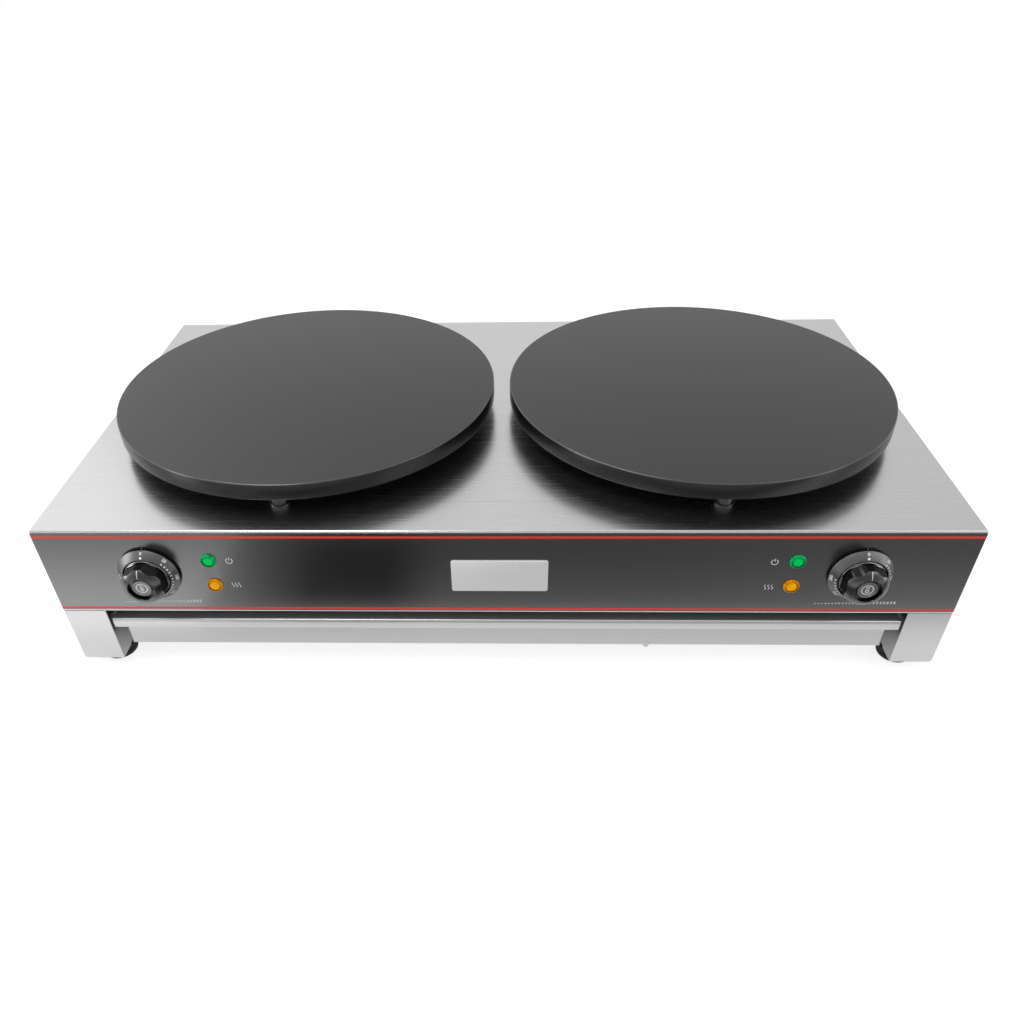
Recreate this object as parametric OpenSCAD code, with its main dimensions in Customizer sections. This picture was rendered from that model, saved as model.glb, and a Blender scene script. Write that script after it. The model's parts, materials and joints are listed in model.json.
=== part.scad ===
// Electric crepe maker: two round cast griddles on a folded steel body, with a drawer below.
// Millimetres. +X is right, +Y is back and +Z is up. The origin lies on the table, under the middle
// of the whole object, from the knobs' noses to the cable glands' ends.

/* [Body] */
// Width of the steel body
body_w = 860; // [850:1:940]
// Depth of the steel body, from front sheet to rear sheet
body_d = 461; // [455:1:500]
// Height of the top sheet above the table
deck_h = 175; // [172:1:190]
// Height of the front above the drawer bay
panel_h = 98; // [97:1:104]
// Thickness of the outer sheets
sheet_t = 1.2; // [1:0.1:1.5]
// Outer radius of the folds along the top sheet
deck_bend_r = 2; // [1.6:0.1:2.4]

/* [Legs and feet] */
// Width of a leg, seen from the front
leg_w = 41.5; // [38:0.5:44]
// Depth of a leg, seen from the side
leg_d = 52; // [48:1:56]
// Height of a rubber foot
foot_h = 12; // [10:1:14]
// Diameter of a rubber foot
foot_d = 34; // [30:1:36]

/* [Griddles] */
// Diameter of a griddle
griddle_d = 400; // [392:1:400]
// Height of a griddle's rim
griddle_rim_h = 16.8; // [16:0.1:20]
// Thickness of the cast cooking skin
griddle_skin = 6.5; // [6:0.1:7]
// Gap between the two griddles
griddle_gap = 16.8; // [14:0.2:18]
// Height of the spacer posts between deck and griddle
post_h = 16.8; // [15:0.1:24]
// Diameter of a spacer post
post_d = 22; // [20:1:24]
// Radius of the circle on which the posts stand
post_ring_r = 174; // [168:1:174]
// How far the griddles' middle lies in front of the body's middle
griddle_forward = 6.5; // [0:0.5:8]

/* [Controls] */
// Distance of a dial from the body's middle
dial_x = 330; // [326:1:340]
// Distance of the dials below the deck
dial_drop = 49; // [48:1:52]
// Outer diameter of a dial ring
ring_d = 58.2; // [56:0.2:60]
// Height of a dial ring in front of the front sheet
ring_h = 9.5; // [9:0.1:11]
// Distance of a knob's nose from the front sheet
knob_nose = 26; // [26:0.5:30]
// Radius of a knob over its lobes
knob_r = 21.2; // [20:0.1:21.2]
// Number of finger lobes round a knob
knob_lobes = 6; // [5:1:8]
// Distance of the signal lamps from the body's middle
lamp_x = 271; // [265:1:275]
// Distance of the power lamps below the deck
power_lamp_drop = 34; // [32:1:36]
// Distance of the heat lamps below the deck
heat_lamp_drop = 63.5; // [62:0.5:66]

/* [Drawer] */
// Depth of the drawer's tray, front to back
tray_d = 399; // [380:1:405]
// Height of the drawer, from the tray's bottom to the strip's top
drawer_h = 34.5; // [30:0.5:36]
// Thickness of the tray's sheet
tray_t = 0.8; // [0.8:0.1:1]
// Height of the strip along the drawer's front
strip_h = 11; // [9:0.5:13]

/* [Hidden] */
$fn = 64;

LEFT = -1;
RIGHT = 1;
SIDES = [LEFT, RIGHT];

// Body
half_w = body_w / 2;
half_d = body_d / 2;
front_y = -half_d;
lip_h = 2.6;                        // depth of the folded edge round the top sheet
seam_z = deck_h - lip_h;            // weld between the top sheet and the sheets below it
bay_top = deck_h - panel_h;         // upper edge of the drawer bay
leg_in = half_w - leg_w;            // inner face of a leg
leg_back = front_y + leg_d;         // rear face of a front leg
fold_r = 1.5;                       // outer radius of the small folds
foot_fold_r = 4;                    // outer radius of the fold under a leg
rim_d = 12;                         // depth of the folded rim round the bay
pan_z = bay_top + sheet_t;          // underside of the bottom pan
pan_t = 1;
pan_top = pan_z + pan_t;
pan_gap = 0.4;                      // play between the bottom pan and the sheets round it
pan_flange = 9;
fit = 0.1;                          // play between pieces that are put together by hand
cut = 1;                            // how far a cutting solid runs past what it cuts

// Screws of the bottom pan
pan_screw_r = 2;
pan_screw_len = 9;
pan_screw_xs = [-300, 0, 300];
pan_screw_ys = [-120, 120];
rim_mid = 7.2;

// Vents
vent_len = 46;
vent_w = 5;
vent_pitch = 12;
vent_rows = 4;
vent_z = 104;
vent_xs = [-120, -60, 0, 60, 120];
louvre_len = 64;
louvre_out = 5;
louvre_t = 1;
louvre_ys = [-80, 0, 80];
louvre_zs = [104, 119, 134, 149];
pan_vent_ys = [-40, -20, 0, 20, 40];
pan_vent_len = 60;

// Feet
foot_x = 404;
foot_y = half_d - 26;
foot_screw_r = 3;
foot_sink = 5;                      // depth of the recess that hides a foot screw's head
foot_nut_h = 5;

// Griddles
griddle_x = (griddle_d + griddle_gap) / 2;
griddle_y = -griddle_forward;
griddle_r = griddle_d / 2;
griddle_z = deck_h + post_h;        // underside of a griddle's rim
griddle_top = griddle_z + griddle_rim_h;
rim_edge_r = 1.6;                   // rounding of the rim's upper edge
rim_foot_r = 1;                     // rounding of its lower edge
recess_r = griddle_r - 14;
boss_r = 13;
cover_t = 1.2;
cover_z = griddle_z + cover_t;      // top of the element cover
skin_z = griddle_top - griddle_skin; // underside of the cooking skin
tube_r = 3.5;                       // radius of the heating element's tube
element_z = skin_z - tube_r;
bolt_r = 3.9;
bolt_hole_r = 4;
bolt_end = skin_z + 1;
conduit_in_r = 13;
conduit_out_r = 15;
post_angles = [30, 150, 270];

// Heating element, seen from above: three open rings joined by two hairpins
ring_rs = [150, 105, 60];
lead_y = 7;                         // the two leads run side by side at plus and minus this
outer_gap = 14;                     // angle of the hairpin between the outer rings
inner_gap = 30;                     // angle of the hairpin between the inner rings
lead_bend = 8;                      // bend radius where a lead leaves its ring or turns down
lead_end_z = deck_h - 25;

// Controls
dial_z = deck_h - dial_drop;
label_t = 0.3;
label_side = 0.5;
label_bottom = bay_top + 2;
badge_size = [90, 36.4];
badge_t = 1.2;
badge_drop = 51.5;
ring_r = ring_d / 2;
ring_mouth_r = 22;
ring_wall_h = 3.5;                  // upright part of a dial ring's side
ring_floor = 1.8;
bush_r = 5;
bush_out = 1.8;
bush_depth = 12;
shaft_r = 3;
shaft_bore_r = 3.05;
shaft_out = 19.5;
thermostat_screw_r = 2;
thermostat_screw_x = 14;
bracket_t = 1.5;
thermostat_d = 24;                  // depth of a thermostat's case
capsule_r = 13;
capsule_t = 4;
knob_back = 4.2;                    // distance of a knob's rear face from the front sheet
knob_wave = 1.6;                    // half the depth of the valleys between the lobes
scoop_r = 7.5;                      // radius of the scoops that open each valley towards the nose
scoop_tilt = 25;
scoop_start = 20.5;                 // distance of a scoop's rear end from the front sheet
cap_seat_r = 11.8;
cap_seat = 22.4;                    // floor of the recess in a knob's nose
cap_r = 8.1;
cap_front = 24.9;
cap_pin_r = 4;
lamp_r = 6;
lamp_depth = 24;
lamp_tag_x = 2.5;                   // distance of a lamp's two solder tags from its axis
lens_r = 7.4;
lens_out = 3.3;
lens_pin_r = 5;

// Rear
gland_x = 300;
gland_z = 122;
gland_bore_r = 5.5;
gland_thread_r = 9;
gland_in = 10;
gland_out = knob_nose;              // the glands reach as far back as the knobs reach forward

// Inside
block_size = [58, 22, 18];
block_pitch = 18;                   // distance from one pole of a terminal block to the next
block_x = 300;
block_y = 150;
stud_x = 245;
stud_y = 175;
stud_r = 2.5;
wire_r = 1.3;

// Drawer
strip_t = 0.9;
strip_back = 14;                    // depth of the strip's top
strip_y = front_y + 2.5;
strip_top = bay_top - 13;
strip_half_w = leg_in - 2;
tray_front = strip_y + strip_t;
tray_half_w = strip_half_w - 9.5;
tray_mid = tray_front + tray_d / 2;
tray_bottom = strip_top - drawer_h;
tray_corner_r = 5;
tray_floor_r = 3;
flange_top = strip_top - strip_t;
flange_z = flange_top - tray_t;
flange_half_w = strip_half_w - 0.2;
rail_t = 1.2;
rail_gap = 0.3;                     // play of the tray's flanges in the rails
rail_x = strip_half_w + 0.5;
rail_front = front_y + 13.5;
rail_back = tray_front + tray_d - 1;
rail_bottom = flange_z - rail_gap - rail_t;
rivet_x = 146;
rivet_r = 3;
rivet_in = 5.6;                     // distance of the rivet's middle behind the tray's front
rivet_drop = 5.6;

// Colours
STEEL = [0.78, 0.79, 0.8];
CAST = [0.2, 0.2, 0.21];
BLACK = [0.1, 0.1, 0.11];
ZINC = [0.62, 0.64, 0.66];
BRASS = [0.75, 0.62, 0.3];
CERAMIC = [0.9, 0.88, 0.82];

// ---------------------------------------------------------------- helpers

module rounded_rect(w, d, r) {
  square([w - 2 * r, d], center = true);
  square([w, d - 2 * r], center = true);
  for (x = [-1, 1], y = [-1, 1])
    translate([x * (w / 2 - r), y * (d / 2 - r)]) circle(r);
}

// A block in the first quadrant whose corner at the origin is rounded.
module corner_block(a, b, r) {
  translate([r, 0]) square([a - r, b]);
  translate([0, r]) square([a, b - r]);
  translate([r, r]) circle(r);
}

// An L-shaped sheet profile, folded at the origin. Small folds are sharp inside.
module fold_profile(a, b, t, r) difference() {
  corner_block(a, b, r);
  translate([t, t])
    if (r - t > 1) corner_block(a, b, r - t);
    else square([a, b]);
}

module slot_profile(len, w) {
  square([len - w, w], center = true);
  for (x = [-1, 1]) translate([x * (len - w) / 2, 0]) circle(w / 2);
}

// Extrudes a profile drawn in (y, z) along X, from x = 0.
module along_x(len) rotate([90, 0, 90]) linear_extrude(len) children();

// Extrudes a profile drawn in (x, z) along Y, from y = 0 backwards.
module along_y(len) translate([0, len, 0]) rotate([90, 0, 0]) linear_extrude(len) children();

// Children stand out of the front sheet: their Z is the distance in front of it.
module on_front(x, z) translate([x, front_y, z]) rotate([90, 0, 0]) children();

// The same on the rear sheet, seen from behind.
module on_rear(x, z) translate([x, half_d, z]) rotate([90, 0, 180]) children();

module left_and_right() {
  children();
  mirror([1, 0, 0]) children();
}

module front_and_rear() {
  children();
  mirror([0, 1, 0]) children();
}

// Pieces of the left half are drawn on the right and mirrored.
module on_side(side) {
  if (side == LEFT) mirror([1, 0, 0]) children();
  else children();
}

// A round bar from point a to point b.
module bar(a, b, r) {
  v = b - a;
  flat = norm([v.x, v.y]);
  translate(a) rotate([0, atan2(flat, v.z), flat == 0 ? 0 : atan2(v.y, v.x)])
    cylinder(r = r, h = norm(v));
}

// A round wire through a list of points, with ball-shaped elbows.
module wire(points, r) {
  for (i = [0 : len(points) - 2]) bar(points[i], points[i + 1], r);
  for (i = [1 : len(points) - 2]) translate(points[i]) sphere(r);
}

// Points on an arc in a plane of constant z, from one angle to another.
function arc_points(centre, bend_r, from, to, step) =
  let (n = ceil(abs(to - from) / step))
  [for (i = [0 : n]) let (a = from + (to - from) * i / n)
    centre + bend_r * [cos(a), sin(a), 0]];

function unit(v) = v / norm(v);

// The direction of a route at each of its points.
function route_dirs(p) = [for (i = [0 : len(p) - 1])
  unit(p[min(i + 1, len(p) - 1)] - p[max(i - 1, 0)])];

// A level side direction for each point; where the route runs upright, that of the level stretch beside it.
function level_side(d, upright) = norm([d.x, d.y]) < 0.01 ? upright : unit([-d.y, d.x, 0]);

// One closed tube along a route of points.
module swept_tube(route, r, faces, first_side, last_side) {
  n = len(route);
  dirs = route_dirs(route);
  rings = [for (i = [0 : n - 1]) let (
      side = level_side(dirs[i], i < n / 2 ? first_side : last_side),
      up = cross(dirs[i], side))
    for (k = [0 : faces - 1]) let (a = 360 * (k + 0.5) / faces)
      route[i] + r / cos(180 / faces) * (cos(a) * side + sin(a) * up)];
  walls = [for (i = [0 : n - 2], k = [0 : faces - 1]) let (
      a = i * faces + k, b = i * faces + (k + 1) % faces)
    each [[a, a + faces, b], [b, a + faces, b + faces]]];
  polyhedron(rings, concat(walls,
    [[for (k = [0 : faces - 1]) k]],
    [[for (k = [faces - 1 : -1 : 0]) (n - 1) * faces + k]]));
}

module hex_nut(across, h, hole_r) difference() {
  cylinder(d = across / cos(30), h = h, $fn = 6);
  translate([0, 0, -cut]) cylinder(r = hole_r, h = h + 2 * cut);
}

// A cross-head screw that points up, with its domed head below z = 0.
module pan_screw(r, length, head_r, head_h) difference() {
  union() {
    cylinder(r = r, h = length);
    translate([0, 0, -head_h]) rotate_extrude() polygon([
      [0, 0], [head_r * 0.55, 0], [head_r * 0.85, head_h * 0.25], [head_r, head_h * 0.6],
      [head_r, head_h], [0, head_h]]);
  }
  for (a = [0, 90]) translate([0, 0, -head_h]) rotate([0, 0, a])
    cube([head_r, head_r / 4, head_h], center = true);
}

module at_each_foot() left_and_right() front_and_rear() translate([foot_x, foot_y, 0]) children();

module at_griddle() translate([griddle_x, griddle_y, 0]) children();

module at_each_post()
  for (a = post_angles) rotate([0, 0, a]) translate([post_ring_r, 0, 0]) children();

module at_each_pan_screw() {
  for (x = pan_screw_xs) front_and_rear() translate([x, front_y + rim_mid, bay_top]) children();
  for (y = pan_screw_ys) left_and_right() translate([half_w - rim_mid, y, bay_top]) children();
}

// ---------------------------------------------------------------- body

// The space that the sheets under the top sheet may fill: their upright edges are ground round.
module body_envelope() translate([0, 0, bay_top]) linear_extrude(seam_z - bay_top)
  rounded_rect(body_w, body_d, sheet_t);

// A shallow slab with all its upper edges and its upright corners rounded.
module deck_slab() intersection() {
  translate([0, 0, seam_z]) linear_extrude(lip_h) rounded_rect(body_w, body_d, deck_bend_r);
  translate([0, front_y, deck_h - half_d]) along_y(body_d) rounded_rect(body_w, body_d, deck_bend_r);
  translate([-half_w, 0, deck_h - half_d]) along_x(body_w) rounded_rect(body_d, body_d, deck_bend_r);
}

module top_panel() color(STEEL) difference() {
  deck_slab();
  translate([0, 0, seam_z - cut]) linear_extrude(lip_h - sheet_t + cut)
    square([body_w - 2 * sheet_t, body_d - 2 * sheet_t], center = true);
  for (side = SIDES) on_side(side) at_griddle() translate([0, 0, seam_z]) {
    at_each_post() cylinder(r = bolt_hole_r + fit, h = 2 * lip_h);
    cylinder(r = conduit_in_r, h = 2 * lip_h);
  }
}

// The front sheet without its holes, with a rim folded under it. The rear one is its mirror image.
module long_sheet() difference() {
  intersection() {
    body_envelope();
    translate([-half_w, front_y, bay_top])
      along_x(body_w) fold_profile(rim_d, seam_z - bay_top, sheet_t, fold_r);
  }
  left_and_right() translate([half_w - sheet_t, front_y + sheet_t, bay_top - cut])
    cube([sheet_t + cut, rim_d, panel_h]);
}

module pan_screw_holes()
  at_each_pan_screw() translate([0, 0, -cut]) cylinder(r = pan_screw_r + fit, h = 3 * sheet_t);

// Holes through the front sheet and whatever lies on it.
module control_holes() for (side = SIDES) {
  on_front(side * dial_x, dial_z) translate([0, 0, -5]) {
    cylinder(r = bush_r + fit, h = 10);
    for (x = [-1, 1]) translate([x * thermostat_screw_x, 0, 0])
      cylinder(r = thermostat_screw_r + fit, h = 10);
  }
  for (drop = [power_lamp_drop, heat_lamp_drop])
    on_front(side * lamp_x, deck_h - drop) translate([0, 0, -5]) cylinder(r = lamp_r + fit, h = 10);
}

module front_panel() color(STEEL) difference() {
  long_sheet();
  pan_screw_holes();
  control_holes();
}

module rear_panel() color(STEEL) difference() {
  mirror([0, 1, 0]) long_sheet();
  pan_screw_holes();
  for (side = SIDES)
    on_rear(side * gland_x, gland_z) translate([0, 0, -5]) cylinder(r = gland_thread_r + fit, h = 10);
  for (x = vent_xs, row = [0 : vent_rows - 1])
    on_rear(x, vent_z + row * vent_pitch) translate([0, 0, -5])
      linear_extrude(10) slot_profile(vent_len, vent_w);
}

// One pressed louvre on the right-hand sheet: a quarter-round hood, open below, with closed ends.
module louvre_hood() translate([half_w, -louvre_len / 2, 0]) intersection() {
  union() {
    along_y(louvre_len) difference() {
      circle(louvre_out);
      circle(louvre_out - louvre_t);
    }
    for (y = [0, louvre_len - louvre_t]) translate([0, y, 0]) along_y(louvre_t) circle(louvre_out);
  }
  translate([-sheet_t / 2, -cut, 0]) cube([2 * louvre_out, louvre_len + 2 * cut, louvre_out + cut]);
}

// The right-hand sheet, between the front and the rear one. Its rim stops short of theirs.
module side_wall() intersection() {
  body_envelope();
  difference() {
    translate([half_w, front_y + sheet_t, bay_top]) along_y(body_d - 2 * sheet_t)
      mirror([1, 0]) fold_profile(rim_d, seam_z - bay_top, sheet_t, fold_r);
    front_and_rear() translate([half_w - sheet_t - rim_d, front_y, bay_top - cut])
      cube([rim_d, rim_d + fit, sheet_t + 2 * cut]);
    for (y = louvre_ys, z = louvre_zs)
      translate([half_w - sheet_t - cut, y - louvre_len / 2 + louvre_t, z])
        cube([sheet_t + 2 * cut, louvre_len - 2 * louvre_t, louvre_out - louvre_t]);
  }
}

module side_sheet() difference() {
  union() {
    side_wall();
    for (y = louvre_ys, z = louvre_zs) translate([0, y, z]) louvre_hood();
  }
  pan_screw_holes();
}

module side_panel(side) color(STEEL) on_side(side) side_sheet();

// The outline of the front right leg up to the pan, or, with an inset, the space inside its walls.
module leg_block(inset) {
  w = leg_w - 2 * inset;
  d = leg_d - 2 * inset;
  translate([half_w - leg_w / 2, front_y + leg_d / 2, foot_h + inset]) intersection() {
    linear_extrude(pan_z - foot_h)
      if (inset > 0) square([w, d], center = true);
      else rounded_rect(w, d, sheet_t);
    translate([w / 2, -leg_d / 2, 0]) along_y(leg_d)
      mirror([1, 0]) corner_block(leg_w, 2 * leg_w, foot_fold_r - inset);
  }
}

// A box leg, open above, that stands under the sheets' rims and round them up to the pan.
module leg() color(STEEL) difference() {
  leg_block(0);
  leg_block(sheet_t);
  translate([leg_in - cut, front_y - cut, bay_top]) cube([leg_w + 2 * cut, rim_d + fit + cut, 2 * sheet_t]);
  translate([half_w - rim_d - fit, front_y, bay_top]) cube([rim_d + fit + cut, leg_d + cut, 2 * sheet_t]);
  translate([foot_x, -foot_y, 0]) cylinder(r = foot_screw_r + fit, h = foot_h + foot_fold_r);
}

module base_pan() color(STEEL) difference() {
  w = body_w - 2 * (sheet_t + pan_gap);
  d = body_d - 2 * (sheet_t + pan_gap);
  translate([0, 0, pan_z]) linear_extrude(pan_flange) rounded_rect(w, d, fold_r);
  translate([0, 0, pan_top]) linear_extrude(pan_flange) square([w - 2 * pan_t, d - 2 * pan_t], center = true);
  pan_screw_holes();
  for (side = SIDES) translate([side * griddle_x, griddle_y, pan_z - cut]) {
    for (y = pan_vent_ys) translate([0, y, 0])
      linear_extrude(pan_t + 2 * cut) slot_profile(pan_vent_len, vent_w);
    translate([side * (stud_x - griddle_x), stud_y - griddle_y, 0])
      cylinder(r = stud_r + fit, h = pan_t + 2 * cut);
  }
}

module base_screws() color(ZINC) at_each_pan_screw() pan_screw(pan_screw_r, pan_screw_len, 4, 2.4);

module front_label() color(BLACK) difference() {
  translate([-half_w + label_side, front_y - label_t, label_bottom])
    cube([body_w - 2 * label_side, label_t, seam_z - label_bottom]);
  control_holes();
}

module badge_plate() color(STEEL) on_front(0, deck_h - badge_drop) translate([0, 0, label_t])
  linear_extrude(badge_t) rounded_rect(badge_size.x, badge_size.y, 2);

// ---------------------------------------------------------------- feet

module foot(side, rear) color(BLACK) translate([side * foot_x, rear * foot_y, 0])
  rotate_extrude() polygon([
    [foot_screw_r + fit, foot_sink], [6.5, foot_sink], [6.5, 0], [foot_d / 2 - 2, 0],
    [foot_d / 2 - 0.8, 0.6], [foot_d / 2, 2.4], [foot_d / 2, foot_h - 0.8],
    [foot_d / 2 - 0.8, foot_h], [foot_screw_r + fit, foot_h]]);

module foot_screws() color(ZINC) at_each_foot() translate([0, 0, foot_sink])
  pan_screw(foot_screw_r, 16, 5.5, 3.5);

module foot_nuts() color(ZINC) at_each_foot() translate([0, 0, foot_h + sheet_t])
  hex_nut(10, foot_nut_h, foot_screw_r + fit / 2);

// ---------------------------------------------------------------- griddles

// Half the section of a griddle's solid outline, with rounded rim edges.
module griddle_outline() {
  h = griddle_rim_h;
  square([griddle_r - rim_edge_r, h]);
  translate([0, rim_foot_r]) square([griddle_r, h - rim_edge_r - rim_foot_r]);
  translate([griddle_r - rim_edge_r, h - rim_edge_r]) circle(rim_edge_r);
  translate([griddle_r - rim_edge_r, 0]) square([rim_edge_r - rim_foot_r, rim_foot_r]);
  translate([griddle_r - rim_foot_r, rim_foot_r]) circle(rim_foot_r);
}

module griddle() color(CAST) at_griddle() difference() {
  union() {
    translate([0, 0, griddle_z]) difference() {
      rotate_extrude() griddle_outline();
      translate([0, 0, -cut]) cylinder(r = recess_r, h = griddle_rim_h - griddle_skin + cut);
    }
    at_each_post() translate([0, 0, cover_z]) cylinder(r = boss_r, h = skin_z - cover_z + cut);
  }
  at_each_post() translate([0, 0, cover_z - cut]) cylinder(r = bolt_hole_r, h = bolt_end + 2 - cover_z + cut);
}

// Three spacer posts, waisted between their two seats.
module griddle_posts() color(ZINC) at_griddle() at_each_post() translate([0, 0, deck_h])
  rotate_extrude() polygon([
    [bolt_hole_r, 0], [post_d / 2 - 0.6, 0], [post_d / 2, 0.6], [post_d / 2, post_h - 3],
    [post_d / 2 - 1.5, post_h - 1.5], [post_d / 2 - 1.5, post_h], [bolt_hole_r, post_h]]);

module post_bolts() color(ZINC) left_and_right() at_griddle() at_each_post()
  translate([0, 0, deck_h - sheet_t]) {
    translate([0, 0, -1.6]) cylinder(r = bolt_r, h = bolt_end - deck_h + sheet_t + 1.6);
    translate([0, 0, -1.6]) cylinder(r = 8, h = 1.6);
    translate([0, 0, -6.9]) cylinder(d = 13 / cos(30), h = 5.3, $fn = 6);
  }

module conduit() color(ZINC) at_griddle() translate([0, 0, deck_h]) difference() {
  cylinder(r = conduit_out_r, h = post_h);
  translate([0, 0, -cut]) cylinder(r = conduit_in_r, h = post_h + 2 * cut);
}

// The route of the element's tube: up the conduit, out along one lead, round three open rings that
// two hairpins join, and back along the other lead.
function element_route() =
  let (
    drop = lead_end_z - element_z,
    turn = (ring_rs[0] - ring_rs[1]) / 2,
    out_c = [sqrt(pow(ring_rs[0] - lead_bend, 2) - pow(lead_y + lead_bend, 2)), lead_y + lead_bend, 0],
    in_c = [sqrt(pow(ring_rs[2] - lead_bend, 2) - pow(lead_y + lead_bend, 2)), -lead_y - lead_bend, 0],
    outer_turn = (ring_rs[1] + turn) * [cos(outer_gap), -sin(outer_gap), 0],
    inner_turn = (ring_rs[2] + turn) * [cos(inner_gap), sin(inner_gap), 0],
    rise = [for (a = [0 : 30 : 90]) lead_bend * [1 - cos(a), 0, sin(a) - 1]],
    zero = [0, 0, 0])
  concat(
    [[0, lead_y, drop]],
    [for (p = rise) p + [0, lead_y, 0]],
    arc_points(out_c, lead_bend, -90, atan2(out_c.y, out_c.x), 20),
    arc_points(zero, ring_rs[0], atan2(out_c.y, out_c.x) + 4, 356 - outer_gap, 4),
    arc_points(outer_turn, turn, -outer_gap, 180 - outer_gap, 15),
    arc_points(zero, ring_rs[1], 355 - outer_gap, inner_gap + 5, 5),
    arc_points(inner_turn, turn, inner_gap, inner_gap - 180, 15),
    arc_points(zero, ring_rs[2], inner_gap + 8, 352 + atan2(in_c.y, in_c.x), 8),
    arc_points(in_c, lead_bend, atan2(in_c.y, in_c.x), 90, 20),
    [for (i = [len(rise) - 1 : -1 : 0]) rise[i] - [0, lead_y, 0]],
    [[0, -lead_y, drop]]);

module heating_element() color(ZINC) at_griddle() translate([0, 0, element_z])
  swept_tube(element_route(), tube_r, 8, [0, 1, 0], [0, -1, 0]);

module insulation_discs() color(CERAMIC) left_and_right() at_griddle()
  translate([0, 0, cover_z]) difference() {
    h = element_z - tube_r - cover_z;
    cylinder(r = recess_r - 0.5, h = h);
    translate([0, 0, -cut]) cylinder(r = conduit_in_r, h = h + 2 * cut);
    at_each_post() translate([0, 0, -cut]) cylinder(r = boss_r + 0.2, h = h + 2 * cut);
  }

module element_cover() color(STEEL) at_griddle() translate([0, 0, griddle_z]) difference() {
  cylinder(r = recess_r - fit, h = cover_t);
  translate([0, 0, -cut]) cylinder(r = conduit_in_r, h = cover_t + 2 * cut);
  at_each_post() translate([0, 0, -cut]) cylinder(r = bolt_hole_r, h = cover_t + 2 * cut);
}

// ---------------------------------------------------------------- controls

// The sensing bulb under the griddle and its thin tube down to the thermostat's capsule.
module capillary() {
  bulb_r = 3;
  tube = 1;
  bulb_z = skin_z - bulb_r;
  bulb_x = griddle_x - 30;
  down_x = griddle_x - 9;
  run_y = front_y + 46;
  run_z = deck_h - 17;
  capsule_y = front_y + sheet_t + bracket_t + thermostat_d + capsule_t;
  color(BRASS) {
    bar([bulb_x, griddle_y + 40, bulb_z], [bulb_x, griddle_y - 40, bulb_z], bulb_r);
    wire([
      [bulb_x, griddle_y - 40, bulb_z], [bulb_x, griddle_y - 46, bulb_z],
      [down_x, griddle_y - 46, bulb_z], [down_x, griddle_y, bulb_z], [down_x, griddle_y, run_z],
      [down_x, run_y, run_z], [dial_x, run_y, run_z], [dial_x, run_y, dial_z],
      [dial_x, capsule_y, dial_z]], tube);
  }
}

module thermostat() on_front(dial_x, dial_z) {
  plate_t = -sheet_t - bracket_t;
  color(ZINC) difference() {
    union() {
      translate([0, 0, plate_t]) linear_extrude(bracket_t) rounded_rect(44, 22, 3);
      translate([0, 0, plate_t]) cylinder(r = bush_r, h = bush_out - plate_t);
      translate([0, 0, plate_t - thermostat_d]) linear_extrude(thermostat_d) rounded_rect(36, 32, 3);
      translate([0, 0, plate_t - thermostat_d - capsule_t]) cylinder(r = capsule_r, h = capsule_t);
      for (x = [-12, 12], y = [-9, 9]) translate([x, y, plate_t - thermostat_d - 9])
        translate([-0.4, -3.15, 0]) cube([0.8, 6.3, 9]);
    }
    translate([0, 0, bush_out - bush_depth]) cylinder(r = shaft_bore_r, h = bush_depth + cut);
    for (x = [-1, 1]) translate([x * thermostat_screw_x, 0, plate_t - 8])
      cylinder(r = thermostat_screw_r + fit, h = 12);
  }
}

module thermostat_screws() color(ZINC) for (side = SIDES, x = [-1, 1])
  on_front(side * dial_x + x * thermostat_screw_x, dial_z) translate([0, 0, ring_floor])
    mirror([0, 0, 1]) pan_screw(thermostat_screw_r, 9, 3.6, 1.8);

// A conical ring with an upright edge and a thin floor that its screws hold down.
module dial_ring() color(BLACK) on_front(dial_x, dial_z) difference() {
  rotate_extrude() polygon([
    [bush_r + 0.3, label_t], [ring_r - 0.3, label_t], [ring_r, label_t + 0.3], [ring_r, ring_wall_h],
    [ring_mouth_r + 0.5, ring_h], [ring_mouth_r + 0.2, ring_h], [ring_mouth_r, ring_h - 0.2],
    [ring_mouth_r, ring_floor], [bush_r + 0.3, ring_floor]]);
  for (x = [-1, 1]) translate([x * thermostat_screw_x, 0, 0])
    cylinder(r = thermostat_screw_r + fit, h = ring_floor + cut);
}

module thermostat_shaft() color(ZINC) on_front(dial_x, dial_z) difference() {
  inner_end = bush_out - bush_depth + 0.3;
  translate([0, 0, inner_end]) cylinder(r = shaft_r, h = shaft_out - inner_end);
  translate([-shaft_r, shaft_r - 1.2, knob_back]) cube([2 * shaft_r, 2, shaft_out]);
}

// The knob's outline: lobes and valleys along a cosine, with one lobe straight up.
module knob_outline() {
  steps = 20 * knob_lobes;
  polygon([for (i = [0 : steps - 1]) let (
    a = 360 * i / steps,
    r = knob_r - knob_wave * (1 - cos(knob_lobes * a))) [r * sin(a), r * cos(a)]]);
}

// A tilted bar in each valley of the knob, which cuts the scoops out of its front.
module knob_scoops() for (i = [0.5 : knob_lobes])
  rotate([0, 0, 360 * i / knob_lobes])
    translate([0, knob_r - 2 * knob_wave + scoop_r / cos(scoop_tilt), scoop_start])
      rotate([scoop_tilt, 0, 0]) cylinder(r = scoop_r, h = knob_nose, center = true);

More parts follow.
